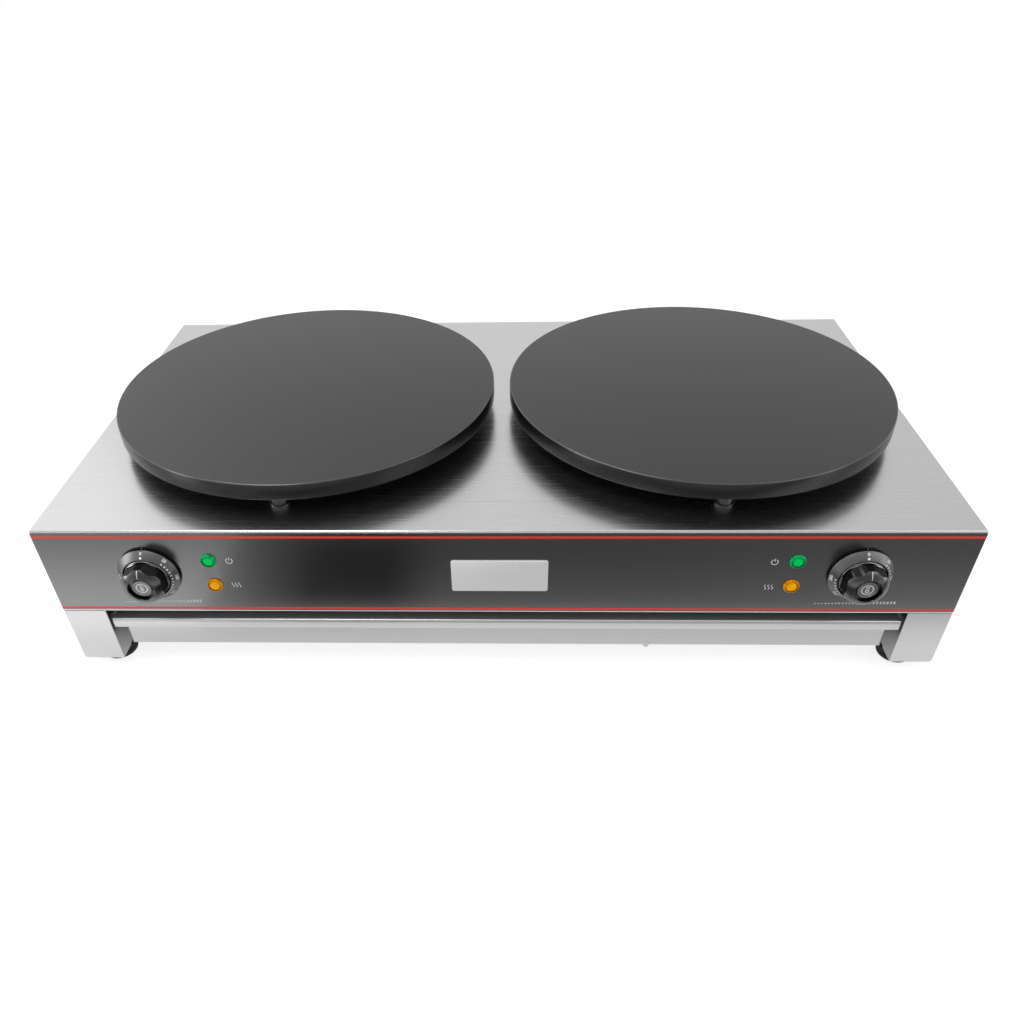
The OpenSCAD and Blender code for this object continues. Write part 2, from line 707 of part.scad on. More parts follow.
module knob() color(BLACK) on_front(dial_x, dial_z) difference() {
  intersection() {
    linear_extrude(knob_nose) knob_outline();
    rotate_extrude() polygon([
      [0, knob_back], [knob_r - 0.5, knob_back], [knob_r, knob_back + 0.5],
      [knob_r, knob_nose - 4.2], [knob_r - 0.3, knob_nose - 3.3], [knob_r - 1, knob_nose - 2.5],
      [knob_r - 4, knob_nose - 1.2], [cap_seat_r + 1.6, knob_nose - 0.3],
      [cap_seat_r + 0.7, knob_nose], [0, knob_nose]]);
  }
  knob_scoops();
  translate([0, 0, cap_seat]) cylinder(r = cap_seat_r, h = knob_nose);
  translate([0, 0, cap_seat - 1.5]) cylinder(r = cap_pin_r + fit / 2, h = knob_nose);
  translate([0, 0, knob_back - cut]) cylinder(r = shaft_bore_r, h = shaft_out + 0.3 - knob_back + cut);
}

module knob_cap() color(ZINC) on_front(dial_x, dial_z) {
  translate([0, 0, cap_seat - 1.2]) cylinder(r = cap_pin_r, h = 1.2);
  translate([0, 0, cap_seat]) rotate_extrude() polygon([
    [0, 0], [cap_r, 0], [cap_r, cap_front - cap_seat - 0.4], [cap_r - 0.4, cap_front - cap_seat],
    [cap_r - 1, cap_front - cap_seat], [cap_r - 1.3, cap_front - cap_seat - 0.4],
    [0, cap_front - cap_seat - 0.4]]);
}

// A stepped lens with a bevelled front and a pin that plugs into the lamp's body.
module lens(drop, tint) color(tint) on_front(lamp_x, deck_h - drop) rotate_extrude() polygon([
  [0, -3], [lens_pin_r, -3], [lens_pin_r, label_t], [lens_r, label_t], [lens_r, 1.3],
  [lens_r - 0.5, 1.8], [lens_r - 1.9, lens_out - 0.2], [lens_r - 2.2, lens_out], [0, lens_out]]);

module at_each_lamp() for (side = SIDES, drop = [power_lamp_drop, heat_lamp_drop])
  on_front(side * lamp_x, deck_h - drop) children();

module lamp_bodies() color(BLACK) at_each_lamp() {
  difference() {
    translate([0, 0, -lamp_depth]) cylinder(r = lamp_r, h = lamp_depth + label_t);
    translate([0, 0, -3.2]) cylinder(r = lens_pin_r + fit / 2, h = 5);
  }
  for (x = [-lamp_tag_x, lamp_tag_x])
    translate([x - 0.4, -1.4, -lamp_depth - 7]) cube([0.8, 2.8, 7]);
}

module lamp_nuts() color(ZINC) at_each_lamp() translate([0, 0, -sheet_t - 4])
  hex_nut(17, 4, lamp_r + fit / 2);

// ---------------------------------------------------------------- wiring space

module terminal_blocks() color(CERAMIC) left_and_right() translate([block_x, block_y, pan_top]) {
  through = 2 * block_size.y;
  difference() {
    translate([-block_size.x / 2, -block_size.y / 2, 0]) cube(block_size);
    for (x = [-block_pitch, 0, block_pitch]) translate([x, 0, 0]) {
      for (y = [-6, 6]) translate([0, y, block_size.z - 7]) cylinder(r = 3, h = 10);
      translate([0, -block_size.y, block_size.z / 2]) rotate([-90, 0, 0]) cylinder(r = 2.2, h = through);
    }
    for (i = [-1.5 : 1.5])
      translate([i * block_pitch - 1, -block_size.y, block_size.z - 5]) cube([2, through, 10]);
  }
}

module earth_studs() color(BRASS) left_and_right() translate([stud_x, stud_y, pan_z]) {
  translate([0, 0, -1.8]) cylinder(r = 4.5, h = 1.8);
  cylinder(r = stud_r, h = 16);
  translate([0, 0, pan_t]) cylinder(d = 8 / cos(30), h = 4, $fn = 6);
}

// Leads between the terminal block, the heating element, the thermostat and the two lamps.
module wiring() color("firebrick") {
  block_front = block_y - block_size.y / 2;
  block_z = pan_top + block_size.z / 2;
  run_z = pan_top + 6;
  blade_y = front_y + sheet_t + bracket_t + thermostat_d + 9;
  lamp_back = front_y + lamp_depth + 7;
  wire([
    [griddle_x, griddle_y + lead_y, lead_end_z], [griddle_x, griddle_y + lead_y, block_z],
    [block_x - block_pitch, griddle_y + lead_y, block_z],
    [block_x - block_pitch, block_front, block_z]], wire_r);
  wire([
    [griddle_x, griddle_y - lead_y, lead_end_z], [griddle_x, griddle_y - lead_y, run_z + 20],
    [dial_x - 12, griddle_y - lead_y, run_z + 20], [dial_x - 12, blade_y + 12, run_z + 20],
    [dial_x - 12, blade_y + 12, dial_z - 9], [dial_x - 12, blade_y, dial_z - 9]], wire_r);
  wire([
    [block_x, block_front, block_z], [block_x, blade_y + 40, block_z],
    [dial_x + 12, blade_y + 40, block_z], [dial_x + 12, blade_y + 12, block_z],
    [dial_x + 12, blade_y + 12, dial_z - 9], [dial_x + 12, blade_y, dial_z - 9]], wire_r);
  wire([
    [dial_x - 12, blade_y, dial_z + 9], [dial_x - 12, blade_y + 8, dial_z + 9],
    [lamp_x + lamp_tag_x, blade_y + 8, dial_z + 9],
    [lamp_x + lamp_tag_x, blade_y + 8, deck_h - heat_lamp_drop],
    [lamp_x + lamp_tag_x, lamp_back, deck_h - heat_lamp_drop]], wire_r);
  wire([
    [block_x + block_pitch, block_front, block_z], [block_x + block_pitch, block_front - 60, block_z],
    [block_x + block_pitch, block_front - 60, run_z], [lamp_x - lamp_tag_x, block_front - 60, run_z],
    [lamp_x - lamp_tag_x, lamp_back + 10, run_z],
    [lamp_x - lamp_tag_x, lamp_back + 10, deck_h - power_lamp_drop],
    [lamp_x - lamp_tag_x, lamp_back, deck_h - power_lamp_drop]], wire_r);
}

module cable_gland(side) color(BLACK) on_rear(side * gland_x, gland_z) difference() {
  union() {
    translate([0, 0, -gland_in]) cylinder(r = gland_thread_r, h = gland_in + 1);
    cylinder(d = 22 / cos(30), h = 5, $fn = 6);
    rotate_extrude() polygon([
      [0, 4], [10, 4], [10.6, 6], [10.6, gland_out - 9], [9.6, gland_out - 4],
      [8.2, gland_out - 0.8], [7.4, gland_out], [0, gland_out]]);
  }
  translate([0, 0, -gland_in - cut]) cylinder(r = gland_bore_r, h = gland_in + gland_out + 2 * cut);
  for (a = [0 : 45 : 315]) rotate([0, 0, a]) translate([11.8, 0, 7]) cylinder(r = 2, h = gland_out - 17);
}

module gland_nuts() color(BLACK) for (side = SIDES)
  on_rear(side * gland_x, gland_z) translate([0, 0, -sheet_t - 5]) hex_nut(24, 5, gland_thread_r + fit / 2);

// ---------------------------------------------------------------- drawer

// A C-shaped rail under the bottom pan; the tray's flange runs in it.
module drawer_rail() color(STEEL) translate([rail_x + rail_t, rail_front, 0]) {
  len = rail_back - rail_front;
  mid = (pan_z + rail_bottom) / 2;
  translate([0, 0, rail_bottom]) along_y(len) mirror([1, 0])
    fold_profile(rail_x + rail_t - tray_half_w - 1.2, mid - rail_bottom, rail_t, fold_r);
  translate([0, 0, pan_z]) along_y(len) rotate([0, 0, 180])
    fold_profile(rim_d, pan_z - mid, rail_t, fold_r);
}

// A block with rounded lower edges and rounded upright corners.
module tray_block(half, depth, bottom, corner, floor_r) intersection() {
  translate([0, tray_mid, bottom]) linear_extrude(flange_top - bottom) rounded_rect(2 * half, depth, corner);
  translate([0, tray_mid - depth / 2, bottom + deck_h / 2]) along_y(depth)
    rounded_rect(2 * half, deck_h, floor_r);
  translate([-half, tray_mid, bottom + deck_h / 2]) along_x(2 * half) rounded_rect(depth, deck_h, floor_r);
}

module drawer_tray() color(STEEL) difference() {
  union() {
    tray_block(tray_half_w, tray_d, tray_bottom, tray_corner_r, tray_floor_r);
    translate([-flange_half_w, tray_front, flange_z]) cube([2 * flange_half_w, tray_d, tray_t]);
  }
  inner_half_w = tray_half_w - tray_t;
  inner_d = tray_d - 2 * tray_t;
  inner_r = tray_corner_r - tray_t;
  translate([0, 0, tray_t])
    tray_block(inner_half_w, inner_d, tray_bottom, inner_r, tray_floor_r - tray_t);
  translate([0, tray_mid, flange_z - cut]) linear_extrude(3 * cut)
    rounded_rect(2 * inner_half_w, inner_d, inner_r);
  translate([rivet_x, tray_front + rivet_in, tray_bottom - cut]) cylinder(r = rivet_r / 2 + fit, h = 4);
}

module drawer_front() color(STEEL) translate([-strip_half_w, strip_y, strip_top])
  along_x(2 * strip_half_w) mirror([0, 1]) fold_profile(strip_back, strip_h, strip_t, fold_r);

// A small round-headed rivet under the tray's front edge.
module tray_rivet() color(ZINC) translate([rivet_x, tray_front + rivet_in, tray_bottom]) {
  translate([0, 0, -rivet_drop]) rotate_extrude() polygon([
    [0, 0], [rivet_r * 0.5, 0.1], [rivet_r * 0.85, 0.7], [rivet_r, 1.6],
    [rivet_r, rivet_drop], [0, rivet_drop]]);
  cylinder(r = rivet_r / 2, h = tray_t + 1);
  translate([0, 0, tray_t]) cylinder(r = rivet_r * 0.8, h = 1);
}

// ---------------------------------------------------------------- all the pieces

top_panel();
front_panel();
rear_panel();
side_panel(LEFT);  // side_panel_left
side_panel(RIGHT);  // side_panel_right
on_side(LEFT) leg();  // leg_front_left
leg();  // leg_front_right
mirror([0, 1, 0]) on_side(LEFT) leg();  // leg_rear_left
mirror([0, 1, 0]) leg();  // leg_rear_right
base_pan();
base_screws();
front_label();
badge_plate();
on_side(LEFT) drawer_rail();  // drawer_rail_left
drawer_rail();  // drawer_rail_right
foot(LEFT, -1);  // foot_front_left
foot(RIGHT, -1);  // foot_front_right
foot(LEFT, 1);  // foot_rear_left
foot(RIGHT, 1);  // foot_rear_right
foot_screws();
foot_nuts();
on_side(LEFT) griddle();  // griddle_left
griddle();  // griddle_right
on_side(LEFT) griddle_posts();  // griddle_posts_left
griddle_posts();  // griddle_posts_right
post_bolts();
on_side(LEFT) conduit();  // conduit_left
conduit();  // conduit_right
on_side(LEFT) heating_element();  // heating_element_left
heating_element();  // heating_element_right
insulation_discs();
on_side(LEFT) element_cover();  // element_cover_left
element_cover();  // element_cover_right
left_and_right() capillary();  // capillaries
on_side(LEFT) thermostat();  // thermostat_left
thermostat();  // thermostat_right
thermostat_screws();
on_side(LEFT) dial_ring();  // dial_ring_left
dial_ring();  // dial_ring_right
on_side(LEFT) lens(power_lamp_drop, "seagreen");  // power_lens_left
lens(power_lamp_drop, "seagreen");  // power_lens_right
on_side(LEFT) lens(heat_lamp_drop, "orange");  // heat_lens_left
lens(heat_lamp_drop, "orange");  // heat_lens_right
lamp_bodies();
lamp_nuts();
terminal_blocks();
earth_studs();
left_and_right() wiring();
cable_gland(LEFT);  // cable_gland_left
cable_gland(RIGHT);  // cable_gland_right
gland_nuts();
on_side(LEFT) thermostat_shaft();  // thermostat_shaft_left
thermostat_shaft();  // thermostat_shaft_right
on_side(LEFT) knob();  // knob_left
knob();  // knob_right
on_side(LEFT) knob_cap();  // knob_cap_left
knob_cap();  // knob_cap_right
drawer_tray();
drawer_front();
tray_rivet();
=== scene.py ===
# %% [markdown]
# # A double crepe maker, dressed for a product picture
# The steel body, its legs, the drawer and the works under the griddles arrive as finished engineering
# parts. This lesson gives each of them a surface, and models again by hand the pieces that the eye rests
# on: the griddles, the dials, the knobs, the lamps, the feet and the printed front.

# %% Load the engineering parts
import json
from math import atan2, cos, hypot, pi, radians, sin

import bmesh
import bpy
from mathutils import Matrix, Vector

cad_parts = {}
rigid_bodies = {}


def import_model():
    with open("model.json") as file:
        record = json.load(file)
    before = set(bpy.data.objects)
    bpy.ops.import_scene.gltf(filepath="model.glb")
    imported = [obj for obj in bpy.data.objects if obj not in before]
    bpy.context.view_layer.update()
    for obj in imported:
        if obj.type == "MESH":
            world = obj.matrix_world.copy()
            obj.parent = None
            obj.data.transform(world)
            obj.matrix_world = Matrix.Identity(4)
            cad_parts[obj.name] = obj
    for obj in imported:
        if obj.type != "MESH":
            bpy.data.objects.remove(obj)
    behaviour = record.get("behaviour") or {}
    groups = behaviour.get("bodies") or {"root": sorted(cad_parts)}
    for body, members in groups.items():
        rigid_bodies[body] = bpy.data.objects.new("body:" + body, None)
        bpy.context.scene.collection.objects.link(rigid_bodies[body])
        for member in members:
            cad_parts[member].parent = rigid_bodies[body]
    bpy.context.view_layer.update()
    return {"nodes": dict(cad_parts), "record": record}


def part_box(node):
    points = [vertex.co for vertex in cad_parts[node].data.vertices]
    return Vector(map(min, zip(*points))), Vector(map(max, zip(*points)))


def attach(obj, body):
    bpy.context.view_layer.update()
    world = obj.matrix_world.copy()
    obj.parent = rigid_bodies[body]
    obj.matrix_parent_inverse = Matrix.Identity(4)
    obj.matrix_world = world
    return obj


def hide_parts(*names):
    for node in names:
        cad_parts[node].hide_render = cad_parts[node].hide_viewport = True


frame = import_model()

nodes = frame["nodes"]

# %% [markdown]
# The parts are in metres, but a small appliance is easier to think of in millimetres. Everything that
# follows, apart from the studio, is written in millimetres and multiplied by MM. Places are read from the
# parts themselves, so that a new piece always sits where the old one was.

# %% Millimetres and the main places
MM = 0.001
SIDES = ("left", "right")


def span(node, axis):
    """The lowest and highest value of a part along axis 0, 1 or 2, in millimetres."""
    low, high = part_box(node)
    return low[axis] / MM, high[axis] / MM


def middle(node, axis):
    return sum(span(node, axis)) / 2


front_y = span("front_panel", 1)[0]
label_y = span("front_label", 1)[0]
print("front sheet at y", round(front_y, 2), "film at y", round(label_y, 2), "mm")

# %% [markdown]
# Every object here is added with an operator, as by hand. An operator acts on all that is selected, and the
# engineering parts arrive selected, so each new object starts with nothing selected. The same few lines
# would come back for every camera, lamp and mesh, so they are one helper.

# %% New objects
def begin(name, add, **values):
    """Adds an object with an operator while nothing else is selected, and names it."""
    bpy.ops.object.select_all(action="DESELECT")
    add(**values)
    piece = bpy.context.object
    piece.name = piece.data.name = name
    return piece


print("ready to add objects")

# %% [markdown]
# ## The camera
# The picture is taken from a little above and in front, from the height of someone who stands at the
# counter. The camera could be aimed at a target, but a target can't hold a slight tilt, so it is described
# by where it stands and by three turns: down, round, and tilted.

# %% Camera
CAMERA_PLACE = (14.504, -829.318, 624.670)
LOOK_DOWN = 0.6801354
LOOK_ROUND = -0.0452049
TILT = -0.0273271
LENS = 29.434
SHIFT = (0.02565, 0.04857)


def camera_axes(down, round_, tilt):
    """The camera's right, up and forward directions."""
    level = Vector((sin(round_), cos(round_), 0))
    side = Vector((cos(round_), -sin(round_), 0))
    upright = Vector((0, 0, 1))
    forward = level * cos(down) - upright * sin(down)
    up = upright * cos(down) + level * sin(down)
    return side * cos(tilt) + up * sin(tilt), up * cos(tilt) - side * sin(tilt), forward


camera = begin("Camera", bpy.ops.object.camera_add, location=Vector(CAMERA_PLACE) * MM)
right, up, forward = camera_axes(LOOK_DOWN, LOOK_ROUND, TILT)
camera.rotation_euler = Matrix((right, up, -forward)).transposed().to_euler()
camera.data.lens = LENS
camera.data.shift_x, camera.data.shift_y = SHIFT
bpy.context.scene.camera = camera
print("camera", [round(v, 3) for v in camera.location], "lens", LENS, "mm")

# %% [markdown]
# ## The studio
# The background is white, and metal has to see that white too, or it would look dull. So the world is
# white to the camera, to reflections and through glass, and a soft grey to everything else. A room is
# never white all round, so reflections find it a little darker to the right and towards the viewer.

# %% World
AMBIENT = 0.62
RIGHT_SPAN, RIGHT_LEVEL = (0.1, 0.55), 0.84
FRONT_SPAN, FRONT_LEVEL = (-0.6, -0.9), 0.5


def feed(tree, socket, source):
    """Sets a socket to a value, or links it to another node's output."""
    if isinstance(source, bpy.types.NodeSocket):
        tree.links.new(source, socket)
    else:
        socket.default_value = source


def new_node(tree, kind, **values):
    """A node of a node tree. Sockets are given by name, with spaces written as underscores."""
    node = tree.nodes.new(kind)
    for key, value in values.items():
        if hasattr(node, key):
            setattr(node, key, value)
        else:
            feed(tree, node.inputs[key.replace("_", " ")], value)
    return node


def combine(tree, operation, *sources, kind="ShaderNodeMath"):
    """The output of a Math node, or of a Vector Math node, whose inputs are given in order."""
    node = new_node(tree, kind, operation=operation)
    for socket, source in zip(node.inputs, sources):
        feed(tree, socket, source)
    return node.outputs["Value" if operation == "LENGTH" else 0]


def spread(tree, source, old, new):
    """The output of a Map Range node that takes one pair of ends to another."""
    limits = {"From_Min": old[0], "From_Max": old[1], "To_Min": new[0], "To_Max": new[1]}
    return new_node(tree, "ShaderNodeMapRange", Value=source, **limits).outputs["Result"]


world = bpy.data.worlds.new("studio")
bpy.context.scene.world = world
world.use_nodes = True
sky = world.node_tree
ray = new_node(sky, "ShaderNodeLightPath").outputs
seen = combine(sky, "MAXIMUM", ray["Is Camera Ray"], ray["Is Glossy Ray"])
seen = combine(sky, "MAXIMUM", seen, ray["Is Transmission Ray"])
heading = new_node(sky, "ShaderNodeTexCoord").outputs["Generated"]
heading = new_node(sky, "ShaderNodeSeparateXYZ", Vector=heading).outputs
right_level = spread(sky, heading["X"], RIGHT_SPAN, (1.0, RIGHT_LEVEL))
front_level = spread(sky, heading["Y"], FRONT_SPAN, (1.0, FRONT_LEVEL))
room = combine(sky, "MULTIPLY", right_level, front_level)
room = combine(sky, "MAXIMUM", room, ray["Is Camera Ray"])
sky_strength = combine(sky, "MULTIPLY", spread(sky, seen, (0.0, 1.0), (AMBIENT, 1.0)), room)
sky.nodes["Background"].inputs["Color"].default_value = (1, 1, 1, 1)
feed(sky, sky.nodes["Background"].inputs["Strength"], sky_strength)
bpy.context.scene.view_settings.view_transform = "Standard"
print("world: ambient", AMBIENT, "seen as 1.0")

# %% [markdown]
# Broad lamps give the form: a key lamp over the left front, a weaker fill on the right, a rim lamp behind
# and a strip on each side. A weak card that lies on the table gives the grey shine on the film's left end.

# %% Lamps
AIM = (0, -0.05, 0.12)
CARD_PLACE = (-0.48, -0.38, 0.003)
LAMPS = {
    "key_lamp": {"place": (-0.7, -0.3, 1.7), "size": (1.8, 0.4), "power": 15, "aim": AIM},
    "fill_lamp": {"place": (1.5, -1.0, 1.5), "size": (1.0, 1.0), "power": 4, "aim": AIM},
    "rim_lamp": {"place": (-2.25, 1.6, 1.65), "size": (1.8, 1.4), "power": 3.0, "aim": AIM},
    "left_strip": {"place": (-1.7, -0.7, 0.45), "size": (0.5, 0.9), "power": 7, "aim": AIM},
    "right_strip": {"place": (1.7, -0.7, 0.45), "size": (0.5, 0.9), "power": 3, "aim": AIM},
    "table_card": {"place": CARD_PLACE, "size": (0.3, 0.19), "power": 0.06, "aim": (*CARD_PLACE[:2], 1)},
}
for name, lamp in LAMPS.items():
    light = begin(name, bpy.ops.object.light_add, type="AREA", location=lamp["place"])
    light.data.shape = "RECTANGLE"
    light.data.size, light.data.size_y = lamp["size"]
    light.data.energy = lamp["power"]
    aim = Vector(lamp["aim"]) - light.location
    light.rotation_euler = aim.to_track_quat("-Z", "Y").to_euler()
print("lamps", list(LAMPS))

# %% [markdown]
# The floor is plain paper, white to the camera apart from the object's shadow. A polished front shows the
# table in front of it as a mirror does, and an even white table would leave it flat. So in reflections
# alone the paper carries painted light and shade: a painted shadow under the body, and before it a painted
# band that runs from bright on the left, through a dark dip, to grey on the right. Past the band it is
# white again, for the open drawer's front.

# %% Floor
FLOOR_HALF = 6.0
FLOOR_DROP = 0.0002
FLOOR_COLOUR = 0.35
FLOOR_GLOW = 0.8
# A painted shadow under the body and a painted band of light and shade before it, seen only in reflections.
SHADE_HALF = (0.37, 0.16, 0.0)
SHADE_FADE = 0.045
SHADE_DEPTH = 0.1
BAND_START = (-0.29, -0.33)
BAND_FADE, BAND_DIM = (-0.33, -0.45), 0.36
BAND_END = (-0.5, -0.58)
BAND_HALF = 0.6
BAND_LEVELS = ((-0.6, 1.0), (-0.37, 0.95), (-0.28, 0.3), (-0.22, 0.06), (-0.13, 0.05), (-0.07, 0.28),
               (0.2, 0.3), (0.45, 0.42))


def blend(tree, factor, low, high):
    """The output of a Mix node between two numbers."""
    node = new_node(tree, "ShaderNodeMix", data_type="FLOAT")
    for number, source in ((0, factor), (2, low), (3, high)):
        feed(tree, node.inputs[number], source)
    return node.outputs[0]


floor_place = (0, 0, -FLOOR_DROP)
floor = begin("floor", bpy.ops.mesh.primitive_plane_add, size=2 * FLOOR_HALF, location=floor_place)
paper = bpy.data.materials.new("white_paper")
paper.use_nodes = True
sheet = paper.node_tree
sheet.nodes.clear()
ray = new_node(sheet, "ShaderNodeLightPath").outputs
spot = new_node(sheet, "ShaderNodeTexCoord").outputs["Object"]
beyond = combine(sheet, "ABSOLUTE", spot, kind="ShaderNodeVectorMath")
beyond = combine(sheet, "SUBTRACT", beyond, SHADE_HALF, kind="ShaderNodeVectorMath")
beyond = combine(sheet, "MAXIMUM", beyond, (0, 0, 0), kind="ShaderNodeVectorMath")
beyond = combine(sheet, "LENGTH", beyond, kind="ShaderNodeVectorMath")
# Painted shadow: in reflections the paper darkens under the body.
shade = spread(sheet, beyond, (0.0, SHADE_FADE), (SHADE_DEPTH, 1.0))
spot = new_node(sheet, "ShaderNodeSeparateXYZ", Vector=spot).outputs
# Painted band of light and shade before the body, for reflections only.
along = spread(sheet, spot["X"], (-BAND_HALF, BAND_HALF), (0.0, 1.0))
band = new_node(sheet, "ShaderNodeValToRGB", Fac=along)
stops = band.color_ramp.elements
for number, (x, value) in enumerate(BAND_LEVELS):
    stop = stops[number] if number < len(stops) else stops.new(1.0)
    stop.position = (x + BAND_HALF) / (2 * BAND_HALF)
    stop.color = (value, value, value, 1)
fade = spread(sheet, spot["Y"], BAND_FADE, (1.0, BAND_DIM))
band_level = combine(sheet, "MULTIPLY", band.outputs["Color"], fade)
band_level = combine(sheet, "MAXIMUM", band_level, spread(sheet, spot["Y"], BAND_END, (0.0, 1.0)))
band_level = blend(sheet, spread(sheet, spot["Y"], BAND_START, (0.0, 1.0)), 1.0, band_level)
mirrored = combine(sheet, "MULTIPLY", band_level, FLOOR_COLOUR)
matt_colour = blend(sheet, ray["Is Glossy Ray"], FLOOR_COLOUR, mirrored)
white = combine(sheet, "MAXIMUM", combine(sheet, "MULTIPLY", band_level, shade), ray["Is Camera Ray"])
direct = combine(sheet, "MAXIMUM", ray["Is Camera Ray"], ray["Is Glossy Ray"])
glow_strength = combine(sheet, "MULTIPLY", direct, combine(sheet, "MULTIPLY", white, FLOOR_GLOW))
matt = new_node(sheet, "ShaderNodeBsdfDiffuse", Color=matt_colour)
glow = new_node(sheet, "ShaderNodeEmission", Color=(1, 1, 1, 1), Strength=glow_strength)
lit = new_node(sheet, "ShaderNodeAddShader")
feed(sheet, lit.inputs[0], matt.outputs[0])
feed(sheet, lit.inputs[1], glow.outputs[0])
new_node(sheet, "ShaderNodeOutputMaterial", Surface=lit.outputs[0])
floor.data.materials.append(paper)
print("floor", 2 * FLOOR_HALF, "m wide")

# %% [markdown]
# ## Finishes
# Brushed sheet, cast iron and moulded plastic all vary finely in colour, gloss and height. One effect
# serves them all: a noise that can be stretched, so that it reads as brush lines, as grain or as speckle.
# It is a node group, and each finish places it with its own stretch. It follows Object coordinates, which
# stay with a piece when it moves.

# %% Shared effects
def new_group(name, inputs, outputs):
    """An empty node group with float or vector inputs {name: default} and outputs [name]."""
    tree = bpy.data.node_groups.new(name, "ShaderNodeTree")
    for key, default in inputs.items():
        kind = "NodeSocketVector" if isinstance(default, tuple) else "NodeSocketFloat"
        tree.interface.new_socket(key, in_out="INPUT", socket_type=kind).default_value = default
    for key in outputs:
        tree.interface.new_socket(key, in_out="OUTPUT", socket_type="NodeSocketFloat")
    return tree, tree.nodes.new("NodeGroupInput").outputs, tree.nodes.new("NodeGroupOutput").inputs


grain, given, wanted = new_group("stretched_grain", {"Stretch": (1, 1, 1), "Detail": 3.0}, ["Grain"])
place = new_node(grain, "ShaderNodeTexCoord").outputs["Object"]
scaled = combine(grain, "MULTIPLY", place, given["Stretch"], kind="ShaderNodeVectorMath")
noise = new_node(grain, "ShaderNodeTexNoise", Vector=scaled, Detail=given["Detail"], Scale=1.0, Roughness=0.6)
feed(grain, wanted["Grain"], noise.outputs["Fac"])
print("group", grain.name)

# %% [markdown]
# Each finish lets that grain vary its colour, its gloss and its height together, because on a real surface
# one scratch changes all three. Painting each finish by hand would be finer, but slower and harder to keep
# alike. Three recipes serve instead: brushed steel, a simple finish for all else, and clear plastic.

# %% Finish helpers
LOW_GRAIN, HIGH_GRAIN = 0.3, 0.7
BRUSH_DEPTH = 0.0015
BRUSH_DETAIL = 4.0


def finish(name, colour, metallic=0.0, **sockets):
    """A new material with a Principled surface, and its tree and surface node."""
    material = bpy.data.materials.new(name)
    material.use_nodes = True
    surface = material.node_tree.nodes["Principled BSDF"]
    surface.inputs["Base Color"].default_value = (*colour, 1)
    surface.inputs["Metallic"].default_value = metallic
    for key, value in sockets.items():
        surface.inputs[key.replace("_", " ")].default_value = value
    return material, material.node_tree, surface


def place_grain(tree, stretch, detail=3.0):
    node = tree.nodes.new("ShaderNodeGroup")
    node.node_tree = grain
    node.inputs["Stretch"].default_value = stretch
    node.inputs["Detail"].default_value = detail
    return node.outputs["Grain"]


def vary(tree, surface, mask, dark, light, rough, depth):
    """Lets a mask vary colour, roughness and height. The depth of the relief is in millimetres."""
    ramp = new_node(tree, "ShaderNodeValToRGB", Fac=mask)
    for stop, place, colour in zip(ramp.color_ramp.elements, (LOW_GRAIN, HIGH_GRAIN), (dark, light)):
        stop.position = place
        stop.color = (*colour, 1)
    feed(tree, surface.inputs["Base Color"], ramp.outputs["Color"])
    feed(tree, surface.inputs["Roughness"], spread(tree, mask, (LOW_GRAIN, HIGH_GRAIN), rough))
    bump = new_node(tree, "ShaderNodeBump", Height=mask, Strength=1.0, Distance=depth * MM)
    feed(tree, surface.inputs["Normal"], bump.outputs["Normal"])


def grey(level):
    return (level, level, level)


def brushed(name, stretch, dark, light, rough, metallic=1.0):
    """Brushed sheet steel. Stretch gives the grain's frequency along X, Y and Z, per metre."""
    material, tree, surface = finish(name, light, metallic)
    vary(tree, surface, place_grain(tree, stretch, BRUSH_DETAIL), dark, light, rough, BRUSH_DEPTH)
    return material


def simple(name, colour, speckle, metallic=0.0, rough=(0.4, 0.5), depth=0.01, shade=0.8, dark=None,
           **sockets):
    """A finish whose colour, gloss and surface vary finely; speckle is the grain's frequency per metre."""
    material, tree, surface = finish(name, colour, metallic, **sockets)
    dark = dark or tuple(shade * level for level in colour)
    vary(tree, surface, place_grain(tree, (speckle,) * 3), dark, colour, rough, depth)
    return material


# A faint painted glow in each lens's own colour.
PAINTED_GLOW = 0.22


def clear_plastic(name, dark, light):
    """Clear coloured plastic whose tone varies at random between a dark and a light colour. It glows faintly
    in the light colour, a painted glow.
    """
    return simple(name, light, 420, rough=(0.08, 0.16), depth=0.02, dark=dark, IOR=1.3,
                  Specular_IOR_Level=0.2, Emission_Color=(*light, 1), Emission_Strength=PAINTED_GLOW)


print("finish helpers ready")
